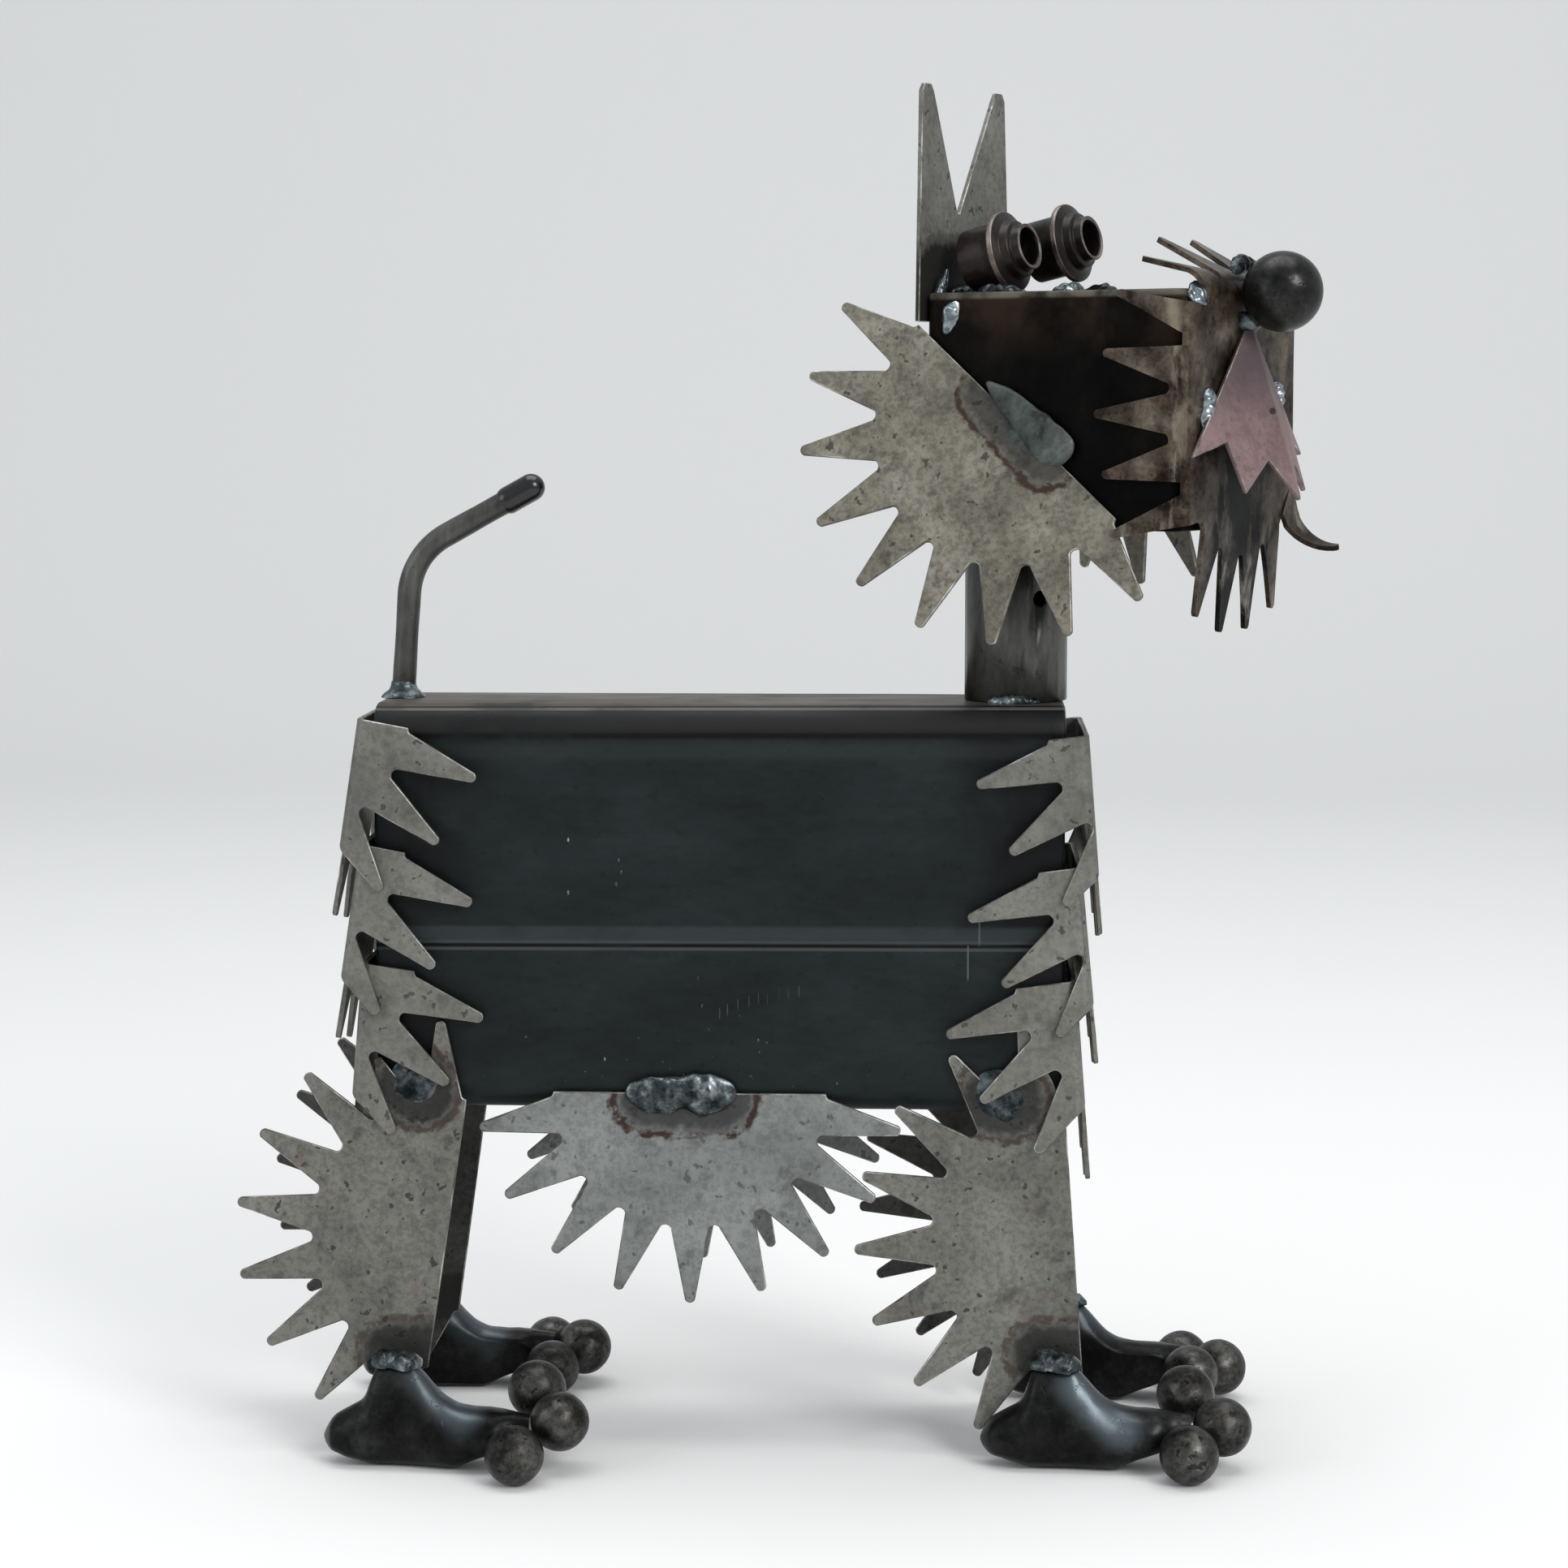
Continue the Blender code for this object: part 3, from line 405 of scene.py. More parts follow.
# Crest lines of the four insteps, where a highlight is painted
CRESTS = on_dog((((-87, -44, 26), (-75, -48, 15)), ((107, -42, 26), (119, -46, 15)),
                 ((-91, 36, 26), (-79, 40, 15)), ((111, 36, 26), (123, 40, 15))))
# Line through the sheet where the dimple's shade is painted
DIMPLE = on_dog(((159.4, -40, 311.8), (164.0, 10, 311.7)))


def painted_instep_highlight(tree, where, colour):
    """A painted blue-grey highlight on each foot's instep, up to 9.5 mm from the crest line."""
    for start, end in CRESTS:
        far = from_line(tree, where, start, end)
        colour = mix(tree, remap(tree, far, 0.0095, 0.002, 0.0, 0.8), colour, (0.115, 0.14, 0.155))
    return colour


def mouth_dark_top_and_dimple_shade(tree, where, colour):
    """Purple-grey, darker toward the top under the nose's weld, and the painted shade of one small dimple.

    The dimple's painted shade is what lies within 1.3 mm of a line through the sheet.
    """
    height = node(tree, "ShaderNodeSeparateXYZ", Vector=where).outputs["Z"]
    share = product(tree, remap(tree, height, 0.302, 0.327, 0.0, 0.85),
                    remap(tree, noise(tree, where, 60.0, 4.0), 0.3, 0.6, 0.6, 1.0))
    colour = mix(tree, share, colour, (0.055, 0.043, 0.048))
    # The dimple is only a painted dark spot: painted shade, with no dent in the sheet
    dimple = remap(tree, from_line(tree, where, *DIMPLE), 0.0013, 0.0007, 0.0, 0.9)
    return mix(tree, dimple, colour, (0.02, 0.012, 0.012))


def muzzle_wear_and_painted_light(tree, where, colour):
    """Darker under the mouth, worn metal and a painted highlight on the side folds, painted gleam on low
    teeth.

    The sheet's UV map holds its flat pattern, PATTERN_UNIT mm to the unit, so the folds are
    straight lines there.
    """
    flat = node(tree, "ShaderNodeUVMap", {"uv_map": "flat"}).outputs["UV"]
    axes = node(tree, "ShaderNodeSeparateXYZ", Vector=flat).outputs
    away = arithmetic(tree, "ABSOLUTE", axes["X"])
    fold = (HEAD_WIDTH / 2 + MUZZLE_STANDOFF) / PATTERN_UNIT
    drawn = node(tree, "ShaderNodeMapping", Vector=where, Scale=(1, 1, 0.35)).outputs["Vector"]
    streaks = noise(tree, drawn, 110.0, 6.0, 0.65)
    # Darker near the middle and low down, round and under the mouth
    under = product(tree, remap(tree, away, 0.33, 0.17), remap(tree, axes["Y"], 0.2, -0.08))
    sooty = product(tree, under, remap(tree, streaks, 0.62, 0.42, 0.45, 1.0))
    colour = mix(tree, sooty, colour, (0.005, 0.0055, 0.0055))
    # Worn metal and a painted highlight along both side folds
    worn = product(tree, band(tree, away, fold + 0.008, 0.004, 0.03),
                   remap(tree, streaks, 0.5, 0.62, 0.0, 0.5))
    colour = mix(tree, worn, colour, (0.30, 0.255, 0.185))
    # A painted gleam streaked over the low hanging teeth
    low = remap(tree, axes["Y"], -0.26, -0.5)
    gleam = product(tree, low, remap(tree, streaks, 0.54, 0.64, 0.0, 0.8))
    return mix(tree, gleam, colour, (0.2, 0.19, 0.17))


# %% [markdown]
# A finish is one function of its colours and roughness. The extra argument paints marks that
# belong to one piece only, such as the body's seam.
# %% Steel
def steel(name, shades, metallic, rough, pits=0.5, grain=0.25, relief=0.2, welds=(),
          stretch=(1.0, 1.0, 1.0), stain=28.0, gloss=0.5, rust=0.0, extra=None):
    """Scaled steel: three shades in broad stains, a mottle and a fine grain, and dark pits.

    shades are the dark, middle and light colours, rough the lowest and highest roughness. The
    soot on a pale steel has less gloss than the steel.
    """
    made = bpy.data.materials.new(name)
    made.use_nodes = True
    tree = made.node_tree
    shader = tree.nodes["Principled BSDF"]
    where = node(tree, "ShaderNodeTexCoord").outputs["Object"]
    drawn = node(tree, "ShaderNodeMapping", Vector=where, Scale=stretch).outputs["Vector"]
    broad = noise(tree, drawn, stain, 6.0, 0.6)
    mottle = noise(tree, drawn, 150.0, 5.0, 0.65)
    fine = noise(tree, drawn, 520.0, 4.0, 0.7)
    specks = noise(tree, where, 300.0, 2.0, 0.5)
    colour = mix(tree, remap(tree, broad, 0.34, 0.54), shades[0], shades[1])
    colour = mix(tree, remap(tree, broad, 0.5, 0.68), colour, shades[2])
    colour = mix(tree, remap(tree, mottle, 0.52, 0.68, 0.0, grain), colour, shades[2])
    colour = mix(tree, remap(tree, mottle, 0.32, 0.48, 1.6 * grain, 0.0), colour,
                 tuple(0.35 * value for value in shades[0]))
    colour = mix(tree, remap(tree, fine, 0.36, 0.6, grain, 0.0), colour, (0.0, 0.0, 0.0))
    pit = remap(tree, specks, 0.65, 0.70, 0.0, pits)
    colour = mix(tree, pit, colour, tuple(0.2 * value for value in shades[0]))
    if rust:
        rusty = product(tree, remap(tree, noise(tree, where, 95.0, 6.0, 0.7), 0.56, 0.68, 0.0, rust),
                        remap(tree, noise(tree, where, 22.0, 3.0), 0.44, 0.6))
        colour = mix(tree, rusty, colour, (0.12, 0.062, 0.036))
    if extra:
        colour = extra(tree, where, colour)
    if welds:
        colour = heat_marks(tree, where, colour, welds)
    tree.links.new(colour, shader.inputs["Base Color"])
    shader.inputs["Metallic"].default_value = metallic
    shader.inputs["Specular IOR Level"].default_value = gloss
    if min(shades[2]) > 0.05:
        dull = remap(tree, colour, 0.004, 0.035, 0.15 * gloss, gloss)
        tree.links.new(dull, shader.inputs["Specular IOR Level"])
    smear = noise(tree, drawn, 60.0, 5.0, 0.6)
    tree.links.new(remap(tree, smear, 0.3, 0.7, *rough), shader.inputs["Roughness"])
    depth = arithmetic(tree, "MULTIPLY_ADD", pit, -1.6, mottle)
    bump = node(tree, "ShaderNodeBump", Height=depth, Strength=relief, Distance=0.0004)
    tree.links.new(bump.outputs["Normal"], shader.inputs["Normal"])
    return made


# %% [markdown]
# The marks are placed before the finishes that carry them. Each row is a weld's line, the reach of
# its soot in mm, and how strong the soot and the rust ring are.
# %% Where the heat marks are
def marks(place, rows):
    """Rows of (start, end, reach, soot, rust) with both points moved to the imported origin."""
    return [(place(start), place(end), reach, soot, rust) for start, end, reach, soot, rust in rows]


LEG_WELDS = marks(on_dog, (((-92, -29, 112), (-90, -29, 110), 11.5, 0.92, 0.85),
                           ((82, -28, 109), (86, -28, 108), 11.5, 0.9, 0.85),
                           ((-98, -34, 31), (-86, -34, 31), 10.0, 0.9, 0.7),
                           ((96, -31, 32), (108, -31, 32), 10.0, 0.9, 0.7)))
FAR_LEG_WELDS = marks(on_dog, (((-92, 29, 112), (-90, 29, 110), 12.0, 0.9, 0.8),
                               ((82, 28, 109), (86, 28, 108), 12.0, 0.9, 0.8),
                               ((-100, 32, 31), (-90, 32, 31), 10.0, 0.9, 0.6),
                               ((100, 31, 32), (112, 31, 32), 10.0, 0.9, 0.6)))
BELLY_WELDS = marks(on_dog, (((-21, -28, 108), (0, -28, 108), 10.5, 0.85, 1.0),
                             ((-21, 28, 108), (0, 28, 108), 10.5, 0.85, 1.0)))
RUFF_WELDS = marks(on_head, (((-19, -36, 39), (0, -36, 21), 9.5, 0.8, 1.0),
                             ((-20, 36, 46), (3, 36, 30), 9.5, 0.7, 0.9)))
EAR_WELDS = marks(on_head, (((-42, -26, 66), (-42, 20, 66), 19.0, 0.97, 0.4),))
TUBE_WELDS = marks(on_dog, (((70, 0, 222), (104, 0, 222), 11.0, 0.92, 0.1),
                            ((-98, 0, 226), (-98, 0, 228), 4.5, 0.7, 0.5)))
print("welds on the coat:", len(LEG_WELDS + FAR_LEG_WELDS + BELLY_WELDS + RUFF_WELDS + EAR_WELDS))


# %% [markdown]
# Every finish has three shades, its metallic share, its range of roughness, and its wear.
# %% Finishes of the dog
COAT_SHADES = ((0.125, 0.123, 0.108), (0.17, 0.167, 0.148), (0.215, 0.212, 0.19))
finishes = {
    "coat": steel("dull grey coat steel", COAT_SHADES, 0.4, (0.42, 0.6), pits=0.75, grain=0.24,
                  rust=0.3, relief=0.15),
    "leg": steel("pitted leg steel", COAT_SHADES, 0.4, (0.42, 0.6), pits=0.9, grain=0.34,
                 welds=LEG_WELDS, rust=0.45),
    # Far legs: the coat's shades darkened, as painted shade on their inner sides
    "far_leg": steel("far leg steel darkened with painted shade", ((0.03, 0.03, 0.027), (0.055, 0.055, 0.05), (0.085, 0.085, 0.077)),
                     0.4, (0.42, 0.6), pits=0.6, grain=0.3, welds=FAR_LEG_WELDS),
    "ear": steel("sooty ear steel", COAT_SHADES, 0.4, (0.42, 0.6), pits=0.75, grain=0.26,
                 welds=EAR_WELDS, rust=0.3),
    "ruff": steel("khaki ruff steel", ((0.125, 0.114, 0.085), (0.182, 0.168, 0.128), (0.24, 0.225, 0.18)),
                  0.3, (0.45, 0.62), pits=0.85, grain=0.4, welds=RUFF_WELDS, rust=0.5, stain=55.0),
    "belly": steel("pale belly steel", ((0.15, 0.158, 0.153), (0.20, 0.21, 0.203), (0.25, 0.262, 0.254)),
                   0.4, (0.40, 0.6), pits=0.6, grain=0.26, welds=BELLY_WELDS),
    # Light colour on the eased cut edges of every sheet
    "edge": steel("bright eased cut edge", ((0.06, 0.056, 0.048), (0.22, 0.21, 0.185), (0.55, 0.54, 0.50)),
                  0.7, (0.28, 0.48), pits=0.2, stain=80.0),
    "body": steel("blue-black mill scale", ((0.005, 0.0078, 0.0082), (0.0085, 0.013, 0.0137),
                                            (0.0135, 0.0185, 0.0195)), 0.0, (0.38, 0.55), pits=0.3,
                  grain=0.18, stretch=(0.4, 1.0, 1.0), stain=36.0, gloss=0.16, extra=body_lines),
    # Head: its own sooty scale, made darker still as painted shade under the muzzle's teeth
    "head": steel("sooty brown-black scale with painted shade", ((0.0008, 0.0008, 0.0007), (0.002, 0.0018, 0.0015),
                                              (0.006, 0.005, 0.004)), 0.0, (0.45, 0.62), pits=0.2,
                  stain=40.0, gloss=0.035, extra=head_edge),
    "muzzle": steel("coppery muzzle steel", ((0.015, 0.010, 0.007), (0.050, 0.035, 0.024),
                                             (0.135, 0.11, 0.08)), 0.45, (0.3, 0.46), pits=0.5, grain=0.4,
                    stain=62.0, gloss=0.3, rust=0.7, extra=muzzle_wear_and_painted_light),
    "mouth": steel("dusty pink-brown mouth steel", ((0.165, 0.105, 0.104), (0.215, 0.142, 0.142),
                                                    (0.25, 0.175, 0.175)), 0.2, (0.5, 0.62), pits=0.3,
                   grain=0.2, stain=34.0, gloss=0.3, extra=mouth_dark_top_and_dimple_shade),
    # Forged feet, with a painted highlight on each instep
    "forged": steel("near-black forged steel", ((0.006, 0.0062, 0.006), (0.014, 0.0142, 0.0138),
                                                (0.033, 0.034, 0.034)), 0.72, (0.30, 0.44), pits=0.35,
                    grain=0.3, relief=0.35, stain=50.0, gloss=0.2, extra=painted_instep_highlight),
    "iron": steel("smooth dark iron", ((0.010, 0.010, 0.0095), (0.022, 0.0225, 0.021),
                                       (0.045, 0.045, 0.041)), 0.7, (0.26, 0.38), pits=0.5, grain=0.35,
                  relief=0.3, stain=75.0, gloss=0.25),
    "toe": steel("hammered toe iron", ((0.022, 0.021, 0.019), (0.062, 0.06, 0.055),
                                       (0.125, 0.122, 0.113)), 0.85, (0.34, 0.48), pits=0.7, grain=0.45,
                 relief=0.6, stain=85.0, gloss=0.25),
    "tube": steel("drawn grey tube steel", ((0.024, 0.025, 0.022), (0.062, 0.063, 0.056),
                                            (0.13, 0.13, 0.117)), 0.55, (0.34, 0.5), pits=0.3,
                  stretch=(1.0, 1.0, 0.3), welds=TUBE_WELDS),
    "eye": steel("dark red-brown turned steel", ((0.004, 0.0026, 0.0022), (0.011, 0.0072, 0.006),
                                                 (0.032, 0.021, 0.0175)), 0.4, (0.3, 0.46), pits=0.3,
                 stain=75.0, gloss=0.35),
    "eye_rim": steel("worn rim", ((0.05, 0.037, 0.033), (0.13, 0.105, 0.096), (0.27, 0.235, 0.22)), 0.5,
                     (0.3, 0.45), pits=0.3, stain=90.0),
    "weld": steel("blue-silver weld metal", ((0.010, 0.014, 0.015), (0.055, 0.070, 0.074),
                                             (0.30, 0.345, 0.355)), 0.75, (0.2, 0.38), pits=0.3,
                  grain=0.3, relief=0.4, stain=190.0),
    "dull_weld": steel("grey-green weld metal", ((0.020, 0.026, 0.023), (0.05, 0.062, 0.056),
                                                 (0.10, 0.122, 0.112)), 0.15, (0.4, 0.58), pits=0.15,
                       grain=0.2, relief=0.3, stain=75.0, gloss=0.4),
    "dark_weld": steel("dark blue weld metal", ((0.004, 0.006, 0.007), (0.018, 0.026, 0.029),
                                                (0.13, 0.16, 0.168)), 0.6, (0.2, 0.38), pits=0.2,
                       grain=0.3, relief=0.4, stain=120.0),
    "bright_weld": steel("bright weld metal", ((0.07, 0.088, 0.10), (0.24, 0.28, 0.30),
                                               (0.62, 0.68, 0.70)), 0.85, (0.16, 0.32), pits=0.15,
                         grain=0.2, relief=0.3, stain=160.0),
}


def plain(name, colour, rough):
    """A material of one colour and one roughness."""
    made = bpy.data.materials.new(name)
    made.use_nodes = True
    shader = made.node_tree.nodes["Principled BSDF"]
    shader.inputs["Base Color"].default_value = (*colour, 1.0)
    shader.inputs["Roughness"].default_value = rough
    return made


finishes["cap"] = plain("glossy black dip", (0.006, 0.006, 0.007), 0.2)
print("finishes:", ", ".join(finishes))


# %% [markdown]
# ## Two ways to make a surface
# A sheet starts as a flat outline that is cut along its fold lines and bent, and a lofted piece
# is a grid of points: rows of closed rings. Both end in the same small function, which puts the
# mesh in place, shades it, and hides the CAD node it stands for.
# %% Put a piece in the scene
def add_piece(name, mesh, look, stands_for=None, sharp=35.0, edge=False):
    """Adds a finished mesh, in row metres, as a piece that rides on the dog."""
    piece = bpy.data.objects.new(name, mesh)
    bpy.context.scene.collection.objects.link(piece)
    mesh.materials.append(finishes[look])
    if edge:
        mesh.materials.append(finishes["edge"])
    mesh.shade_smooth()
    mesh.set_sharp_from_angle(angle=math.radians(sharp))
    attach(piece, "root")
    if stands_for:
        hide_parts(stands_for)
    return piece


def grid_faces(rows, columns):
    """Quads between neighbouring rows of a grid whose columns close into rings."""
    row, column = np.meshgrid(np.arange(rows - 1), np.arange(columns), indexing="ij")
    after = (column + 1) % columns
    quads = (row * columns + column, row * columns + after,
             (row + 1) * columns + after, (row + 1) * columns + column)
    return np.stack(quads, axis=-1).reshape(-1, 4).tolist()


def face_outward(mesh, flatten=0.0):
    """Turns faces outward. First, flatten joins neighbours that lie within so many degrees."""
    whole = bmesh.new()
    whole.from_mesh(mesh)
    if flatten:
        bmesh.ops.dissolve_limit(whole, angle_limit=math.radians(flatten), verts=whole.verts,
                                 edges=whole.edges)
    bmesh.ops.recalc_face_normals(whole, faces=whole.faces)
    whole.to_mesh(mesh)
    whole.free()


def closed_mesh(name, points, faces):
    """A mesh over points in row millimetres, its faces turned outward."""
    mesh = bpy.data.meshes.new(name)
    mesh.from_pydata((points.reshape(-1, 3) * MM).tolist(), [], faces)
    face_outward(mesh)
    return mesh


def loft(name, rings, look, stands_for=None, sharp=35.0, capped=True):
    """A closed skin over rings, an array (rows, columns, 3) in row millimetres."""
    rows, columns = rings.shape[:2]
    faces = grid_faces(rows, columns)
    if capped:
        faces += [list(range(columns)), list(range((rows - 1) * columns, rows * columns))]
    else:
        last = (rows - 1) * columns
        faces += [[last + i, last + (i + 1) % columns, (i + 1) % columns, i]
                  for i in range(columns)]
    return add_piece(name, closed_mesh(name, rings, faces), look, stands_for, sharp)


def lumps(points, size, seed):
    """Gentle unevenness: the mean of nine sines along seeded random directions, size mm apart."""
    rng = np.random.default_rng(seed)
    waves = rng.normal(size=(9, 3))
    waves *= 2 * np.pi / size / np.linalg.norm(waves, axis=1)[:, None]
    return np.sin(points @ waves.T + rng.uniform(0, 2 * np.pi, 9)).mean(axis=-1)


# %% [markdown]
# ## The toothed disc
# One tooth is two straight flanks between a round tip and two round gullets. Each flank is the
# common tangent of the tip circle and the gullet circle, so its direction comes from the line
# between the two centres. The outline walks round the disc tooth by tooth, and a half disc starts
# and ends in a gullet, which makes its straight edge the disc's own diameter.
# %% Outline of the toothed disc
def polar(radius, degrees):
    """A flat point at a radius and an angle."""
    angle = math.radians(degrees)
    return np.array((radius * math.cos(angle), radius * math.sin(angle)))


def arc(centre, radius, first, last, steps):
    """Points on an arc between two angles in degrees."""
    return [centre + polar(radius, first + (last - first) * i / steps) for i in range(steps + 1)]


def flank_turn(tip_radius, root_radius, pitch):
    """Angle between a tooth's own direction and the outward normal of its flank.

    The flank is the inner tangent of two circles: the tip's rounding, inside the metal, and the
    gullet's rounding, outside it. Its normal leans off the line of centres by
    asin((tip + gullet) / distance).
    """
    tip_centre = polar(tip_radius - TIP_ROUND, 0.0)
    gullet_centre = polar(root_radius + GULLET_ROUND, pitch / 2)
    line = gullet_centre - tip_centre
    lean = math.asin((TIP_ROUND + GULLET_ROUND) / np.linalg.norm(line))
    return math.degrees(math.atan2(line[1], line[0]) - math.pi / 2 - lean)


def toothed_outline(tip_radius, teeth, start, whole=False, short=None):
    """Outline of part of the toothed disc, counter-clockwise, its first tooth at start degrees.

    A half disc begins and ends in the bottom of a gullet, so that its straight edge is the
    disc's own diameter. short maps a tooth's number to how much is snipped off its tip.
    """
    pitch = 360.0 / DISC_TEETH
    root_radius = tip_radius - GULLET_DEPTH
    points = []
    for tooth in range(teeth):
        aim = start + tooth * pitch
        reach = tip_radius - (short or {}).get(tooth, 0.0)
        turn = flank_turn(reach, root_radius, pitch)
        before = polar(root_radius + GULLET_ROUND, aim - pitch / 2)
        after = polar(root_radius + GULLET_ROUND, aim + pitch / 2)
        points += arc(before, GULLET_ROUND, aim - pitch / 2 + 180, aim - turn + 180, GULLET_STEPS)
        points += arc(polar(reach - TIP_ROUND, aim), TIP_ROUND, aim - turn, aim + turn, TIP_STEPS)
        leave = arc(after, GULLET_ROUND, aim + turn + 180, aim + pitch / 2 + 180, GULLET_STEPS)
        last = tooth == teeth - 1
        points += leave if last and not whole else leave[:-1]
    return points


teeth_points = np.array(toothed_outline(DISC_RADIUS, DISC_TEETH, 0.0, whole=True))
print("one disc has", len(teeth_points), "outline points,", DISC_RADIUS * 2, "mm across")


# %% [markdown]
# ## Bending a sheet
# A press brake wraps the sheet round a cylinder. Past the fold line, distance along the sheet
# turns into angle, up to the bend's own, and what is left over runs on straight. The same formula
# moves both faces of the sheet, so its thickness stays true round the bend.
# %% Fold, cut and thicken a sheet
def roll(points, line, out, radius, degrees, mask=None):
    """Folds what lies past a line in a sheet round a cylinder, as a press brake does.

    points are (n, 3), with the sheet's own height as the third number. line is a flat point on
    the fold's start, out the flat direction that leads past it, and radius the bend's middle
    radius. A positive angle folds toward +z.
    """
    out3 = np.array((*out, 0.0)) / np.linalg.norm(out)
    past = (points - np.array((*line, 0.0))) @ out3
    bent = np.clip(past / radius, 0.0, math.radians(abs(degrees)))
    rest = np.maximum(past - radius * bent, 0.0)
    side = math.copysign(1.0, degrees)
    height = points[:, 2] * side
    forward = (radius - height) * np.sin(bent) + rest * np.cos(bent)
    lift = radius - (radius - height) * np.cos(bent) + rest * np.sin(bent)
    moved = points + (forward - past)[:, None] * out3
    moved[:, 2] = side * lift
    keep = past <= 0.0 if mask is None else (past <= 0.0) | ~mask
    moved[keep] = points[keep]
    return moved


def bend_cuts(line, out, radius, degrees, steps):
    """Places across a bend where the flat outline is cut, so that the bend's facets fold."""
    unit = np.array(out) / np.linalg.norm(out)
    length = radius * math.radians(abs(degrees))
    return [(np.array(line) + unit * length * i / steps, unit) for i in range(steps + 1)]


def placed(points, place):
    """Applies a 4 x 4 matrix to an (n, 3) array."""
    matrix = np.array(place)
    return points @ matrix[:3, :3].T + matrix[:3, 3]


def sheet_axes(origin, across, up):
    """Matrix of a sheet's own axes: across and up in the sheet, its normal as the third."""
    x = Vector(across).normalized()
    z = x.cross(Vector(up)).normalized()
    y = z.cross(x)
    matrix = Matrix((x, y, z)).transposed().to_4x4()
    matrix.translation = origin
    return matrix


def sheet(name, outline, cuts, shape, look):
    """A steel sheet: the outline is cut along its fold lines, and shape bends both faces.

    A flat sheet has no cuts, and its matrix stands in place of shape.
    """
    bend = shape if callable(shape) else lambda points: placed(points, shape)
    flat_mesh = bmesh.new()
    flat_mesh.faces.new([flat_mesh.verts.new((*point, 0.0)) for point in outline])
    flat_mesh.normal_update()
    for point, normal in cuts:
        everything = flat_mesh.verts[:] + flat_mesh.edges[:] + flat_mesh.faces[:]
        bmesh.ops.bisect_plane(flat_mesh, geom=everything, dist=1e-5,
                               plane_co=(*point, 0.0), plane_no=(*normal, 0.0))
    bmesh.ops.triangulate(flat_mesh, faces=flat_mesh.faces)
    flat_mesh.verts.index_update()
    flat = np.array([vertex.co[:] for vertex in flat_mesh.verts])
    faces = [[vertex.index for vertex in face.verts] for face in flat_mesh.faces]
    rim = [(loop.vert.index, loop.link_loop_next.vert.index)
           for face in flat_mesh.faces for loop in face.loops if loop.edge.is_boundary]
    flat_mesh.free()
    count = len(flat)
    sides = [bend(flat + np.array((0.0, 0.0, side * SHEET / 2))) for side in (1, -1)]
    points = (np.concatenate(sides) + SHIFT_MM) * MM
    faces += [[i + count for i in reversed(face)] for face in faces]
    faces += [[b, a, a + count, b + count] for a, b in rim]
    mesh = bpy.data.meshes.new(name)
    mesh.from_pydata(points.tolist(), [], faces)
    corners = np.array([loop.vertex_index for loop in mesh.loops])
    pattern = np.concatenate((flat, flat))[corners, :2] / PATTERN_UNIT
    mesh.uv_layers.new(name="flat").data.foreach_set("uv", pattern.ravel())
    face_outward(mesh, flatten=0.4)
    piece = add_piece(name + "_plate", mesh, look, name, edge=True)
    rounded = piece.modifiers.new("eased edges", "BEVEL")
    rounded.width = EASED_EDGE * MM
    rounded.segments = 2
    rounded.limit_method = "ANGLE"
    rounded.angle_limit = math.radians(42)
    rounded.material = 1
    flat_light = piece.modifiers.new("flat faces stay flat", "WEIGHTED_NORMAL")
    flat_light.keep_sharp = True
    return piece


# %% [markdown]
# ## Coat plates folded round the body
# Three half discs hang at each end, each folded round the end of the body like a saddle cloth,
# teeth down. Each lies over the one below it, so its width is worked out from what it covers.
# %% Fringe plates
def leg_side(height, splay, disc_top):
    """Distance from the middle plane to a leg sheet's own middle, at a height."""
    beside_body = BODY_WIDTH / 2 + GAP + SHEET / 2
    return beside_body + (disc_top - height) * math.tan(math.radians(splay))


def fringe_halves(tops, splay, disc_top):
    """Half the width and the flare of each folded plate, top plate first.

    A wing's teeth hang lowest at 50 degrees round the half disc. Down to there the lowest plate
    clears the leg sheet under it, and each of the others clears the plate below it.
    """
    hang = DISC_RADIUS * math.sin(math.radians(50.0))
    halves = []
    covered = [(z, leg_side(z, splay, disc_top)) for z in (disc_top, tops[-1] - hang)]
    for number, top in enumerate(reversed(tops)):
        flare = LOW_FRINGE_FLARE if number == 0 else FRINGE_FLARE
        spread = math.tan(math.radians(flare))
        half = max(side + SHEET + 2 * GAP - (top - z) * spread for z, side in covered)
        halves.insert(0, (half, flare))
        above = tops[-2 - number] if number < len(tops) - 1 else top
        covered = [(z, half + (top - z) * spread) for z in (top, above - hang)]
    return halves


def fringe_plate(name, facing, top, standoff, lean, shift, half, flare):
    """A half disc folded round one end of the body, teeth down, leaning out at its foot.

    facing is +1 at the chest and -1 at the rear. Both wings also flare, because the two fold
    lines part downward by the flare angle. shift is how far the disc sits toward the near side.
    """
    start = half - FRINGE_BEND
    outline = toothed_outline(DISC_RADIUS, DISC_TEETH // 2, TEETH_DOWN)
    outline = [point - np.array((facing * shift, 0.0)) for point in outline]
    tilt = math.radians(flare)
    folds = [((side * start, 0.0), (side * math.cos(tilt), math.sin(tilt))) for side in (1, -1)]
    cuts = [cut for line, out in folds for cut in bend_cuts(line, out, FRINGE_BEND, 90, BEND_STEPS)]
    end = BODY_MIDDLE_X + facing * (BODY_LENGTH / 2 + standoff + SHEET / 2)
    place = sheet_axes((end, 0, top), (0, facing, 0), (0, 0, 1))
    place = place @ Matrix.Rotation(math.radians(-lean), 4, "X")

    def shape(points):
        for line, out in folds:
            points = roll(points, line, out, FRINGE_BEND, -90)
        return placed(points, place)

    sheet(name, outline, cuts, shape, "coat")


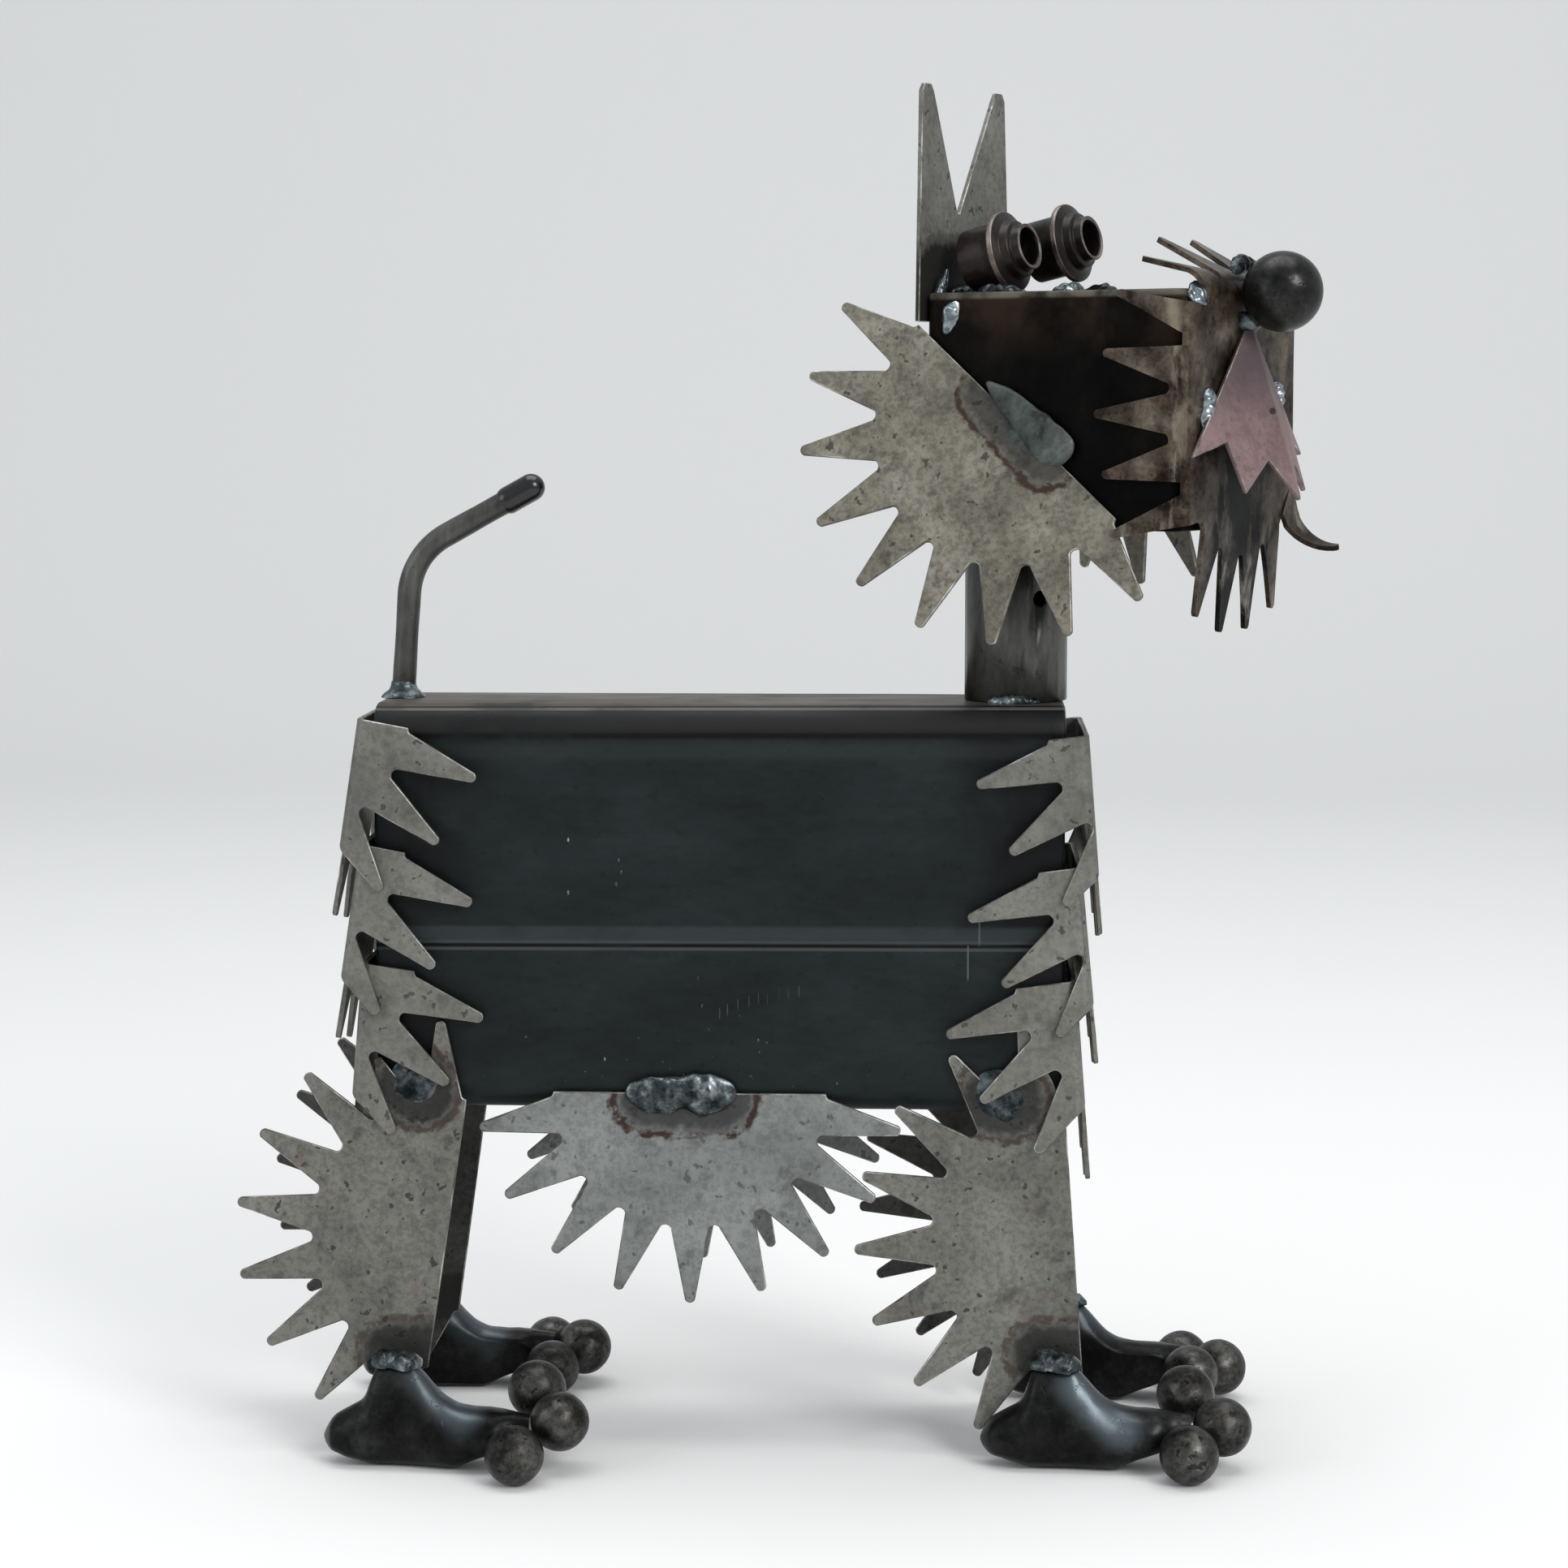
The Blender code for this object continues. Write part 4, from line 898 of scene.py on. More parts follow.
def make_fringes():
    """Six plates: three at the rear and three at the chest, each set sized by what it covers."""
    rear = fringe_halves(REAR_TOPS, max(REAR_SPLAYS), REAR_LEG_Z + DISC_RADIUS)
    chest = fringe_halves(CHEST_TOPS, max(FRONT_SPLAYS), FRONT_LEG_Z + FRONT_LEG_DISC_RADIUS)
    ends = (("rear_fringe", -1, (REAR_TOPS, REAR_STANDOFFS, REAR_LEANS, REAR_SHIFTS, rear)),
            ("chest_fringe", 1, (CHEST_TOPS, CHEST_STANDOFFS, CHEST_LEANS, CHEST_SHIFTS, chest)))
    for name, facing, rows in ends:
        for number, (top, standoff, lean, shift, (half, flare)) in enumerate(zip(*rows), 1):
            fringe_plate(f"{name}_{number}", facing, top, standoff, lean, shift, half, flare)


make_fringes()
print("six fringe plates folded")


# %% [markdown]
# ## Legs and belly plates
# A leg is half a disc stood on end beside the body, its straight edge in front. The rear near one
# splays out the most. The belly plates hang level, teeth down, and are paler than the coat.
# %% Leg and belly plates
def leg_plate(name, side, x, z, turn, splay, radius, short=None):
    """A half disc beside the body, teeth to the rear, splayed outward below its top tooth."""
    outline = toothed_outline(radius, DISC_TEETH // 2, turn - 80.0, short=short)
    centre = leg_side(z, splay, z + radius)
    slope = math.tan(math.radians(splay))
    place = sheet_axes((x, side * centre, z), (1, 0, 0), (0, -side * slope, 1))
    sheet(name, outline, [], place, "leg" if side < 0 else "far_leg")


def make_legs():
    """Near and far legs at both ends, the rear ones with one tooth snipped short."""
    snipped = {REAR_SNIPPED_TOOTH: SNIP}
    for (word, side), rear_splay, front_splay in zip(SIDES, REAR_SPLAYS, FRONT_SPLAYS):
        leg_plate(f"rear_leg_{word}", side, REAR_LEG_X, REAR_LEG_Z, REAR_LEG_TURN,
                  rear_splay, DISC_RADIUS, snipped)
        leg_plate(f"front_leg_{word}", side, FRONT_LEG_X, FRONT_LEG_Z, FRONT_LEG_TURN,
                  front_splay, FRONT_LEG_DISC_RADIUS)


make_legs()


def make_belly():
    """Two level half discs, one on each side of the body, teeth down."""
    outline = toothed_outline(DISC_RADIUS, DISC_TEETH // 2, TEETH_DOWN)
    for word, side in SIDES:
        middle = side * (BODY_WIDTH / 2 + GAP + SHEET / 2)
        place = sheet_axes((BELLY_X, middle, BELLY_Z), (1, 0, 0), (0, 0, 1))
        sheet(f"belly_plate_{word}", outline, [], place, "belly")


make_belly()
print("legs and belly plates cut")


# %% [markdown]
# ## Head plates
# The muzzle is a whole disc: five near teeth and four far ones are folded back along the cheeks,
# four go over the brow, the low ones hang, and the one at the far corner of the chin curls ahead.
# The mouth is a small fan folded along its middle. Both sit in the turned head's own axes.
# %% Muzzle, mouth, ears and ruff
def face_place():
    """Sheet axes on the front of the head: x to the far side, y up, z ahead."""
    rise = HEAD_HEIGHT / 2 + MUZZLE_RISE
    ahead = HEAD_LENGTH / 2 + MUZZLE_STANDOFF + SHEET / 2
    return head_place() @ sheet_axes((ahead, 0, rise), (0, 1, 0), (0, 0, 1))


def gathered(points, root, toward):
    """Teeth closer together than they were cut: each leans back toward one direction."""
    radius = np.hypot(points[:, 0], points[:, 1])
    aim = math.radians(toward)
    angle = np.arctan2(points[:, 1], points[:, 0]) - aim
    angle = (angle + math.pi) % (2 * math.pi) - math.pi
    inside = np.minimum(radius, root)
    beyond = radius - inside
    lean = aim + angle * MUZZLE_GATHER
    moved = points.copy()
    moved[:, 0] = inside * np.cos(aim + angle) + beyond * np.cos(lean)
    moved[:, 1] = inside * np.sin(aim + angle) + beyond * np.sin(lean)
    return moved


def twisted(points, base, aim):
    """The chin's corner tooth turned downward in the sheet, more and more beyond its base."""
    offset = points[:, :2] - base
    past = offset @ polar(1.0, -aim)
    turn = -math.radians(CURL_TWIST) * np.clip(past / 8.0, 0.0, 1.0)
    moved = points.copy()
    moved[:, 0] = base[0] + offset[:, 0] * np.cos(turn) - offset[:, 1] * np.sin(turn)
    moved[:, 1] = base[1] + offset[:, 0] * np.sin(turn) + offset[:, 1] * np.cos(turn)
    return moved


def make_muzzle():
    """The whole disc: side teeth folded back on the cheeks, top ones over the brow.

    The lower teeth hang, and the one at the far corner of the chin curls forward.
    """
    pitch = 360.0 / DISC_TEETH
    long_teeth = {7: -MUZZLE_LONG_TOOTH, 11: -MUZZLE_LONG_TOOTH}
    outline = toothed_outline(DISC_RADIUS, DISC_TEETH, 0.0, whole=True, short=long_teeth)
    root = DISC_RADIUS - GULLET_DEPTH
    start = HEAD_WIDTH / 2 + GAP + SHEET / 2 - MUZZLE_SIDE_BEND
    brow = HEAD_HEIGHT / 2 - MUZZLE_RISE - 1.0
    curl_line = polar(root - 2.0, -2 * pitch)
    curl_out = polar(1.0, -2 * pitch - CURL_TWIST)
    cuts = []
    for side in (1, -1):
        cuts += bend_cuts((side * start, 0), (side, 0), MUZZLE_SIDE_BEND, 90, BEND_STEPS)
    cuts += bend_cuts((0, brow), (0, 1), MUZZLE_TOP_BEND, MUZZLE_TOP_FOLD, BEND_STEPS)
    cuts += bend_cuts(curl_line, polar(1.0, -2 * pitch), CURL_RADIUS, CURL, CURL_STEPS)
    place = face_place()

    def shape(points):
        angle = np.degrees(np.arctan2(points[:, 1], points[:, 0]))
        flat = points.copy()
        near = np.abs(angle) > 180 - 2.5 * pitch
        low_near = near & (angle < 0) & (angle > -180 + 1.5 * pitch)
        far = (angle < 2.5 * pitch) & (angle > -1.5 * pitch)
        top = (angle > 2.5 * pitch) & (angle < 180 - 2.5 * pitch)
        curl = (angle < -1.5 * pitch) & (angle > -2.5 * pitch)
        low = ~near & ~far & ~top & ~curl
        for teeth, toward in ((near, 180.0), (far, 0.0), (low, -90.0)):
            flat[teeth] = gathered(flat[teeth], root, toward)
        flat[curl] = twisted(flat[curl], curl_line, 2 * pitch)
        points = roll(flat, (-start, 0), (-1, 0), MUZZLE_SIDE_BEND, -90, near & ~low_near)
        points = roll(points, (-start, 0), (-1, 0), MUZZLE_SIDE_BEND,
                      -MUZZLE_LOW_TOOTH_FOLD, low_near)
        points = roll(points, (start, 0), (1, 0), MUZZLE_SIDE_BEND, -90, far)
        corner = top & (angle > 180 - 3.5 * pitch)
        points = roll(points, (0, brow), (0, 1), MUZZLE_TOP_BEND, -MUZZLE_TOP_FOLD,
                      top & ~corner)
        points = roll(points, (0, brow), (0, 1), MUZZLE_TOP_BEND, -MUZZLE_NEAR_TOP_FOLD, corner)
        points = roll(points, curl_line, curl_out, CURL_RADIUS, CURL, curl)
        chin = (0, -HEAD_HEIGHT / 2 - MUZZLE_RISE)
        points = roll(points, chin, (0, -1), MUZZLE_TILT_BEND, -MUZZLE_TILT, low)
        return placed(points, place)

    sheet("muzzle_disc", outline, cuts, shape, "muzzle")


def make_mouth():
    """A five-toothed fan folded along its middle like a tent, its middle tooth thrust ahead."""
    half_top = MOUTH_TOP_WIDTH / 2
    outline = [np.array((-half_top, 0.0))]
    for step in range(-4, 5):
        radius = MOUTH_GULLET_RADIUS if step % 2 else MOUTH_RADIUS
        outline.append(polar(radius, -90 + step * MOUTH_PITCH / 2))
    outline.append(np.array((half_top, 0.0)))
    start = MOUTH_BEND * math.radians(MOUTH_FOLD / 2)
    cuts = bend_cuts((-start, 0), (1, 0), MOUTH_BEND, MOUTH_FOLD, MOUTH_STEPS)
    lift = SHEET + GAP + MOUTH_STANDOFF
    place = face_place() @ Matrix.Translation((MOUTH_SIDE, MOUTH_TOP, lift))
    place = place @ Matrix.Rotation(math.radians(-MOUTH_FORWARD_TILT), 4, "X")

    def shape(points):
        for side in (1, -1):
            points = roll(points, (0, 0), (side, 0), MOUTH_BEND, -MOUTH_FOLD / 2)
        return placed(points, place)

    sheet("mouth_plate", outline, cuts, shape, "mouth")


def make_ears():
    """One upright sheet behind the head, cut to two pointed ears with a V between them."""
    half = EAR_WIDTH / 2
    base = EAR_BOTTOM - HEAD_BOTTOM
    notch = EAR_NOTCH - HEAD_BOTTOM
    top = EAR_TOP - HEAD_BOTTOM
    near = -half + NEAR_EAR_TAPER
    far = half - FAR_EAR_TAPER
    outline = [np.array(p) for p in (
        (-half, base), (half, base), (far, top - 2.2), (far - 1.6, top),
        (far - EAR_TIP_WIDTH + 1.6, top), (far - EAR_TIP_WIDTH, top - 2.2),
        (EAR_NOTCH_SIDE + 0.6, notch), (EAR_NOTCH_SIDE - 0.6, notch),
        (near + EAR_TIP_WIDTH, top - 2.2), (near + EAR_TIP_WIDTH - 1.6, top),
        (near + 1.6, top), (near, top - 2.2))]
    back = -HEAD_LENGTH / 2 - GAP - SHEET / 2
    place = head_place() @ sheet_axes((back, EAR_SIDE, 0), (0, 1, 0), (0, 0, 1))
    sheet("ear_plate", outline, [], place, "ear")


def make_ruff():
    """Two half discs flared off the cheeks, their straight edges on the head's sides."""
    outline = toothed_outline(RUFF_DISC_RADIUS, DISC_TEETH // 2, TEETH_DOWN)
    slope = math.radians(RUFF_SLOPE)
    flare = math.radians(RUFF_FLARE)
    off = GAP + SHEET / 2 * math.cos(flare)
    for (word, side), setback, height in zip(SIDES, (RUFF_BACK, FAR_RUFF_BACK),
                                             (RUFF_Z, FAR_RUFF_Z)):
        along = Vector((math.cos(slope), 0, -math.sin(slope)))
        back = Vector((-math.sin(slope), 0, -math.cos(slope)))
        down = back * math.cos(flare) + Vector((0, side, 0)) * math.sin(flare)
        centre = (HEAD_LENGTH / 2 - setback, side * (HEAD_WIDTH / 2 + off),
                  height - HEAD_BOTTOM)
        place = head_place() @ sheet_axes(centre, along, -down)
        sheet(f"ruff_plate_{word}", outline, [], place, "ruff")


make_muzzle()
make_mouth()
make_ears()
make_ruff()
print("head plates folded")


# %% [markdown]
# ## Body box
# The body is a length of heavy box section with both ends closed. Its profile is a rounded
# rectangle carried along x, drawn in a little at each end so that the end edges are eased too.
# Along its near side runs the tube's own seam: a low ridge with a thin groove under it.
# %% Body
def rounded_profile(width, height, corner, steps, side_points):
    """A rounded rectangle of (y, z) points about the origin, counter-clockwise.

    Each corner is a quarter circle, and each upright side is filled with extra points.
    """
    loop = []
    for quarter, (y_sign, z_sign) in enumerate(((1, 1), (-1, 1), (-1, -1), (1, -1))):
        angle = np.radians(90 * quarter + np.linspace(0, 90, steps + 1))
        centre = (y_sign * (width / 2 - corner), z_sign * (height / 2 - corner))
        loop.append(np.stack((centre[0] + corner * np.cos(angle),
                              centre[1] + corner * np.sin(angle)), axis=-1))
        reach = height / 2 - corner
        if quarter in (1, 3):
            levels = np.linspace(z_sign * reach, -z_sign * reach, side_points + 2)[1:-1]
            loop.append(np.stack((np.full(side_points, y_sign * width / 2), levels), axis=-1))
    return np.concatenate(loop)


def box_rings(length, profile, ease, between):
    """Carries a profile along x, with quarter-round end edges.

    Near each end it draws in by ease (1 - cos a) while x runs on by ease sin a, a from 0 to 90.
    """
    quarter = np.linspace(0, np.pi / 2, 5)
    x = length / 2 - ease + ease * np.sin(quarter)
    inset = ease * (1 - np.cos(quarter))
    middle = np.linspace(-(length / 2 - ease), length / 2 - ease, between)[1:-1]
    stations = np.concatenate((-x[::-1], middle, x))
    insets = np.concatenate((inset[::-1], np.zeros(len(middle)), inset))
    size = np.abs(profile).max(axis=0)
    shrink = 1 - insets[:, None, None] / size
    section = profile[None] * shrink
    xs = np.broadcast_to(stations[:, None, None], (len(stations), len(profile), 1))
    return np.concatenate((xs, section), axis=-1)


profile = rounded_profile(BODY_WIDTH, BODY_HEIGHT, BODY_CORNER, 8, 230)
body_rings = box_rings(BODY_LENGTH, profile, 1.2, 60)
body_rings += SHIFT_MM + np.array((BODY_MIDDLE_X, 0.0, BODY_BOTTOM + BODY_HEIGHT / 2))
x, y, z = body_rings[..., 0], body_rings[..., 1], body_rings[..., 2]
side = np.clip((SHIFT_MM[1] - y) / (BODY_WIDTH / 2) - 0.9, 0, 0.1) * 10
seam = SEAM_LEVEL + SEAM_SLOPE * x
ridge = 0.28 * np.exp(-((z - seam - 2.0) / 1.1) ** 2)
ridge = ridge - 0.42 * np.exp(-((z - seam + 0.4) / 0.55) ** 2)
hollow = 0.22 * lumps(body_rings, 75.0, 3)
body_rings[..., 1] -= side * (ridge + hollow)
body_rings[..., 2] += 0.15 * lumps(body_rings, 60.0, 4)
body_skin = loft("body_skin", body_rings, "body", "body_box")
print("body skin has", len(body_skin.data.polygons), "faces")


# %% [markdown]
# ## Head box and neck tube
# The head is a smaller closed box turned 30 degrees toward the near side. Its profile is drawn
# in plan and carried upward, because the head's upright edges are the rounded ones. The neck is
# a tube with one small drilled hole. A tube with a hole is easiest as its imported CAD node, which
# has the hole already, so that node stays and only gets a finish.
# %% Head and neck
plan = rounded_profile(HEAD_WIDTH, HEAD_LENGTH, HEAD_CORNER, 8, 40)
head_rings = box_rings(HEAD_HEIGHT, plan, 0.9, 30)
upright = head_rings[..., ::-1] + np.array((0.0, 0.0, HEAD_HEIGHT / 2))
upright = upright + 0.12 * lumps(upright, 40.0, 9)[..., None]
loft("head_skin", on_head(upright), "head", "head_box")

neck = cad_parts["neck_tube"]
neck.data.materials.clear()
neck.data.materials.append(finishes["tube"])
joined = neck.modifiers.new("joined facets", "WELD")
joined.merge_threshold = 0.01 * MM
neck.data.shade_smooth()
print("head skinned, neck finished")


# %% [markdown]
# ## Tail
# A rod goes up, round one bend and on, and its end has been dipped in black rubber. A round bar
# along a path needs rings square to the path: each ring's own up direction is the path's heading
# turned a quarter, so the rings never twist.
# %% Tail rod and cap
def bar(path_x, path_z, heading, radii, columns=32):
    """Rings square to a path in the middle plane, radii[i] wide at station i."""
    angle = np.linspace(0, 2 * np.pi, columns, endpoint=False)
    lift = radii[:, None] * np.cos(angle)
    return np.stack((path_x[:, None] - lift * np.sin(heading)[:, None],
                     radii[:, None] * np.sin(angle) + SHIFT_MM[1],
                     path_z[:, None] + lift * np.cos(heading)[:, None]), axis=-1)


def tail_line(count=90):
    """Stations along the tail: straight, then an arc, then straight, by the length run so far."""
    bend = math.radians(TAIL_BEND)
    lean = math.pi / 2 - math.radians(TAIL_LEAN)
    arc_length = TAIL_BEND_RADIUS * bend
    run = np.linspace(0, TAIL_STRAIGHT + arc_length + TAIL_REACH, count)
    turned = np.clip((run - TAIL_STRAIGHT) / TAIL_BEND_RADIUS, 0, bend)
    heading = lean - turned
    step = np.gradient(run)
    x = TAIL_X + SHIFT_MM[0] + np.cumsum(np.cos(heading) * step) - np.cos(lean) * step[0]
    z = BODY_TOP + GAP + np.cumsum(np.sin(heading) * step) - np.sin(lean) * step[0]
    return x, z, heading


tail_x, tail_z, tail_heading = tail_line()
wobble = 1 + 0.02 * np.sin(np.linspace(0, 19, 90))
loft("tail_bar", bar(tail_x, tail_z, tail_heading, TAIL_DIAMETER / 2 * wobble), "tube", "tail_rod")
cap_radius = CAP_DIAMETER / 2
straight = CAP_LENGTH - cap_radius
cap_run = np.concatenate((np.linspace(-1.2, straight, 14),
                          CAP_LENGTH - cap_radius * (1 - np.sin(np.linspace(0.1, 1.53, 12)))))
dome = np.sqrt(np.clip(1 - ((cap_run - straight) / cap_radius) ** 2, 0, 1))
cap_share = np.where(cap_run < straight, np.clip(0.9 + (cap_run + 1.2) * 0.09, 0, 1.0), dome)
end = tail_heading[-1]
loft("tail_dip", bar(tail_x[-1] + cap_run * np.cos(end), tail_z[-1] + cap_run * np.sin(end),
                     np.full(len(cap_run), end), cap_radius * cap_share), "cap", "tail_cap")
print("tail is", round(TAIL_STRAIGHT + TAIL_BEND_RADIUS * math.radians(TAIL_BEND) + TAIL_REACH, 1), "mm long")


# %% [markdown]
# ## Steel balls
# The nose and the toes are solid balls. A perfect sphere would look like a new bearing, so each
# one's radius is varied by broad hammer flats and a finer unevenness. The two poles are closed by
# a small cap each.
# %% Nose and toes
def hammered_ball(name, node_name, seed, flats=0.012, look="toe"):
    """A sphere in latitude and longitude, its radius lowered by two sizes of lumps."""
    low_corner, high_corner = (np.array(corner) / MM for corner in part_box(node_name))
    centre = (low_corner + high_corner) / 2
    radius = (high_corner - low_corner)[2] / 2
    latitude = np.linspace(-np.pi / 2 + 0.05, np.pi / 2 - 0.05, 40)[:, None]
    longitude = np.linspace(0, 2 * np.pi, 64, endpoint=False)[None]
    around = np.stack(np.broadcast_arrays(np.cos(latitude) * np.cos(longitude),
                                          np.cos(latitude) * np.sin(longitude),
                                          np.sin(latitude)), axis=-1)
    ball = around * radius
    dents = flats * lumps(ball, 9.0, seed) + 0.5 * flats * lumps(ball, 3.5, seed + 1)
    points = centre + ball * (1 + np.minimum(dents, 0.004))[..., None]
    points[..., 2] = np.maximum(points[..., 2], low_corner[2])
    return loft(name, points, look, node_name, sharp=70)


hammered_ball("nose_steel_ball", "nose_ball", 5, flats=0.003, look="iron")
toes = [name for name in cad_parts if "_toe_" in name]
for seed, toe in enumerate(sorted(toes)):
    hammered_ball(toe + "_steel_ball", toe, 10 + seed, flats=0.016)
print(len(toes), "toes and one nose")


# %% [markdown]
# ## Forged feet
# Each foot is one forging: a pointed heel, a stump that the leg is welded to, and a saddle that
# dips and runs out to the toes. Its underside, top and width are three curves along its length,
# smoothed so that no station shows, and each section is a full oval, squarer below than above.
# %% Feet
# Foot stations: distance ahead of the stump, underside, top, and share of the full width
FOOT_STATIONS = (
    (-22.0, 5.5, 10.5, 0.30), (-19.5, 4.0, 14.0, 0.70), (-14.5, 2.2, 16.8, 0.88),
    (-8.8, 0.6, 20.0, 0.95), (-7.4, 0.0, 28.6, 0.95), (-4.5, 0.0, 30.4, 0.98),
    (5.5, 0.0, 31.0, 1.0), (9.0, 0.0, 27.0, 1.0), (13.6, 0.0, 21.6, 1.0),
    (18.0, 0.0, 19.0, 0.98), (23.5, 2.6, 18.0, 0.95), (28.4, 4.4, 17.8, 0.95),
    (32.0, 5.6, 17.6, 0.80), (34.0, 6.6, 17.4, 0.50), (40.2, 8.0, 16.4, 0.38),
)


def smoothed(stations, values, where, spread=1.3):
    """A curve through stations, averaged over a bell-shaped window spread mm wide."""
    offsets = np.linspace(-2.5, 2.5, 21) * spread
    bell = np.exp(-(offsets / spread) ** 2 / 2)
    samples = np.interp(where[:, None] + offsets, stations, values)
    return (samples * bell).sum(axis=1) / bell.sum()


def forged_foot(node_name, side, ahead, centre, toe_out, seed):
    """A stack of closed sections along x, narrowed toward the top by waist.

    Across, each is sign(cos) |cos|^0.86. Upward it is |sin|^0.9, and below the middle |sin|^0.72.
    """
    table = np.array(FOOT_STATIONS)
    where = table[0, 0] + (table[-1, 0] - table[0, 0]) * np.linspace(0, 1, 110)
    low_z = np.maximum(smoothed(table[:, 0], table[:, 1], where, 0.9), 0.0)
    high_z = smoothed(table[:, 0], table[:, 2], where)
    share = smoothed(table[:, 0], table[:, 3], where)
    ends = np.sqrt(np.clip(1 - (1 - np.clip((where - where[0]) / 3.0, 0.02, 1)) ** 2, 0, 1))
    angle = np.linspace(0, 2 * np.pi, 56, endpoint=False)
    c, s = np.cos(angle), np.sin(angle)
    flat = np.where(s > 0, np.abs(s) ** 0.9, -np.abs(s) ** 0.72)
    z = (low_z + high_z)[:, None] / 2 + ((high_z - low_z) / 2 * ends)[:, None] * flat
    waist = np.interp(z, (8.0, 12.0, 19.0, 27.0), (9.2, 9.0, 7.3, STUMP_HALF_WIDTH))
    across = np.sign(c) * np.abs(c) ** 0.86 * (share * ends)[:, None] * waist
    turned_out = np.maximum(where, 0)[:, None] * math.tan(math.radians(toe_out))
    across = np.maximum(across, -STUMP_HALF_WIDTH) + turned_out
    x = np.broadcast_to((ahead + where)[:, None], z.shape)
    points = np.stack((x, side * (centre + across), z), axis=-1)
    dents = 0.28 * lumps(points, 16.0, seed) + 0.12 * lumps(points, 5.0, seed + 1)
    points[..., 0] += dents
    points[..., 2] = np.maximum(points[..., 2] + dents * (z > 2.0), 0.0)
    return loft(node_name + "_forging", points + SHIFT_MM, "forged", node_name, sharp=60)


front_disc_top = FRONT_LEG_Z + FRONT_LEG_DISC_RADIUS
foot_plan = (("rear", REAR_FEET_X, REAR_SPLAYS, REAR_LEG_Z + DISC_RADIUS, TOE_OUT_REAR),
             ("front", FRONT_FEET_X, FRONT_SPLAYS, front_disc_top, TOE_OUT_FRONT))
foot_centres = {}
for end_name, feet_x, splays, disc_top, toe_out in foot_plan:
    for (word, side), ahead, splay in zip(SIDES, feet_x, splays):
        centre = leg_side(0.0, splay, disc_top) + SHEET / 2 + GAP + STUMP_HALF_WIDTH
        foot_centres[end_name, word] = (ahead + SHIFT_MM[0], side * centre + SHIFT_MM[1])
        forged_foot(f"{end_name}_foot_{word}", side, ahead, centre, toe_out,
                    len(foot_centres) * 7)
for where, (x, y) in foot_centres.items():
    print(*where, "foot at", round(x, 1), round(y, 1))


# %% [markdown]
# ## Eyes
# Each eye is a flanged steel bushing. A turned piece is one profile of radius against height,
# spun round: up the barrel, out to the flange, in to the rim, and down the bore again, closed
# into a ring so that the bore is really hollow.
# %% Eyes
def spun(profile, columns=72):
    """Rings of a turned piece: profile's radii and heights at each of columns angles."""
    angle = np.linspace(0, 2 * np.pi, columns, endpoint=False)
    radius, height = np.array(profile, float).T
    return np.stack((radius[:, None] * np.cos(angle), radius[:, None] * np.sin(angle),
                     np.broadcast_to(height[:, None], (len(profile), columns))), axis=-1)


def eased(profile, cut=0.35):
    """Cuts each corner of a closed profile twice, a set distance back along both its sides."""
    points = np.array(profile, float)
    before, after = np.roll(points, 1, axis=0), np.roll(points, -1, axis=0)
    back = before - points
    on = after - points
    reach_back = np.minimum(cut / np.linalg.norm(back, axis=1), 0.45)[:, None]
    reach_on = np.minimum(cut / np.linalg.norm(on, axis=1), 0.45)[:, None]
    first, last = points + back * reach_back, points + on * reach_on
    middle = 0.25 * first + 0.5 * points + 0.25 * last
    return np.stack((first, middle, last), axis=1).reshape(-1, 2)


bore, rim = EYE_BORE / 2, EYE_RIM / 2
barrel, flange = EYE_BARREL / 2, EYE_FLANGE / 2
eye_profile = [(bore, -0.6), (bore, -EYE_LENGTH), (barrel, -EYE_LENGTH), (barrel, -11.5),
               (flange - 2.0, -8.6), (flange, -8.2), (flange, -6.6), (rim + 2.0, -5.6),
               (rim + 1.6, -3.2), (rim, -2.8), (rim, 0.0), (bore + 0.6, 0.0)]
WORN_ROWS = tuple(range(15, 20)) + tuple(range(30, 35))
tilt = math.radians(EYE_TILT)
eye_rise = HEAD_HEIGHT + GAP + flange * math.cos(tilt) + 8.2 * math.sin(tilt)
for (word, side), lift in zip(SIDES, (0.0, FAR_EYE_RISE)):
    spot = head_place() @ Matrix.Translation((EYE_AHEAD - HEAD_LENGTH / 2, side * EYE_SPACING / 2,
                                              eye_rise + lift))
    spot = np.array(spot @ Matrix.Rotation(math.pi / 2 - tilt, 4, "Y"))
    rings = spun(eased(eye_profile)) @ spot[:3, :3].T + spot[:3, 3] + SHIFT_MM
    bushing = loft(f"eye_{word}_bushing", rings, "eye", f"eye_{word}", sharp=50, capped=False)
    bushing.data.materials.append(finishes["eye_rim"])
    for face in bushing.data.polygons:
        face.material_index = int(face.index // rings.shape[1] in WORN_ROWS)
print("eyes turned")


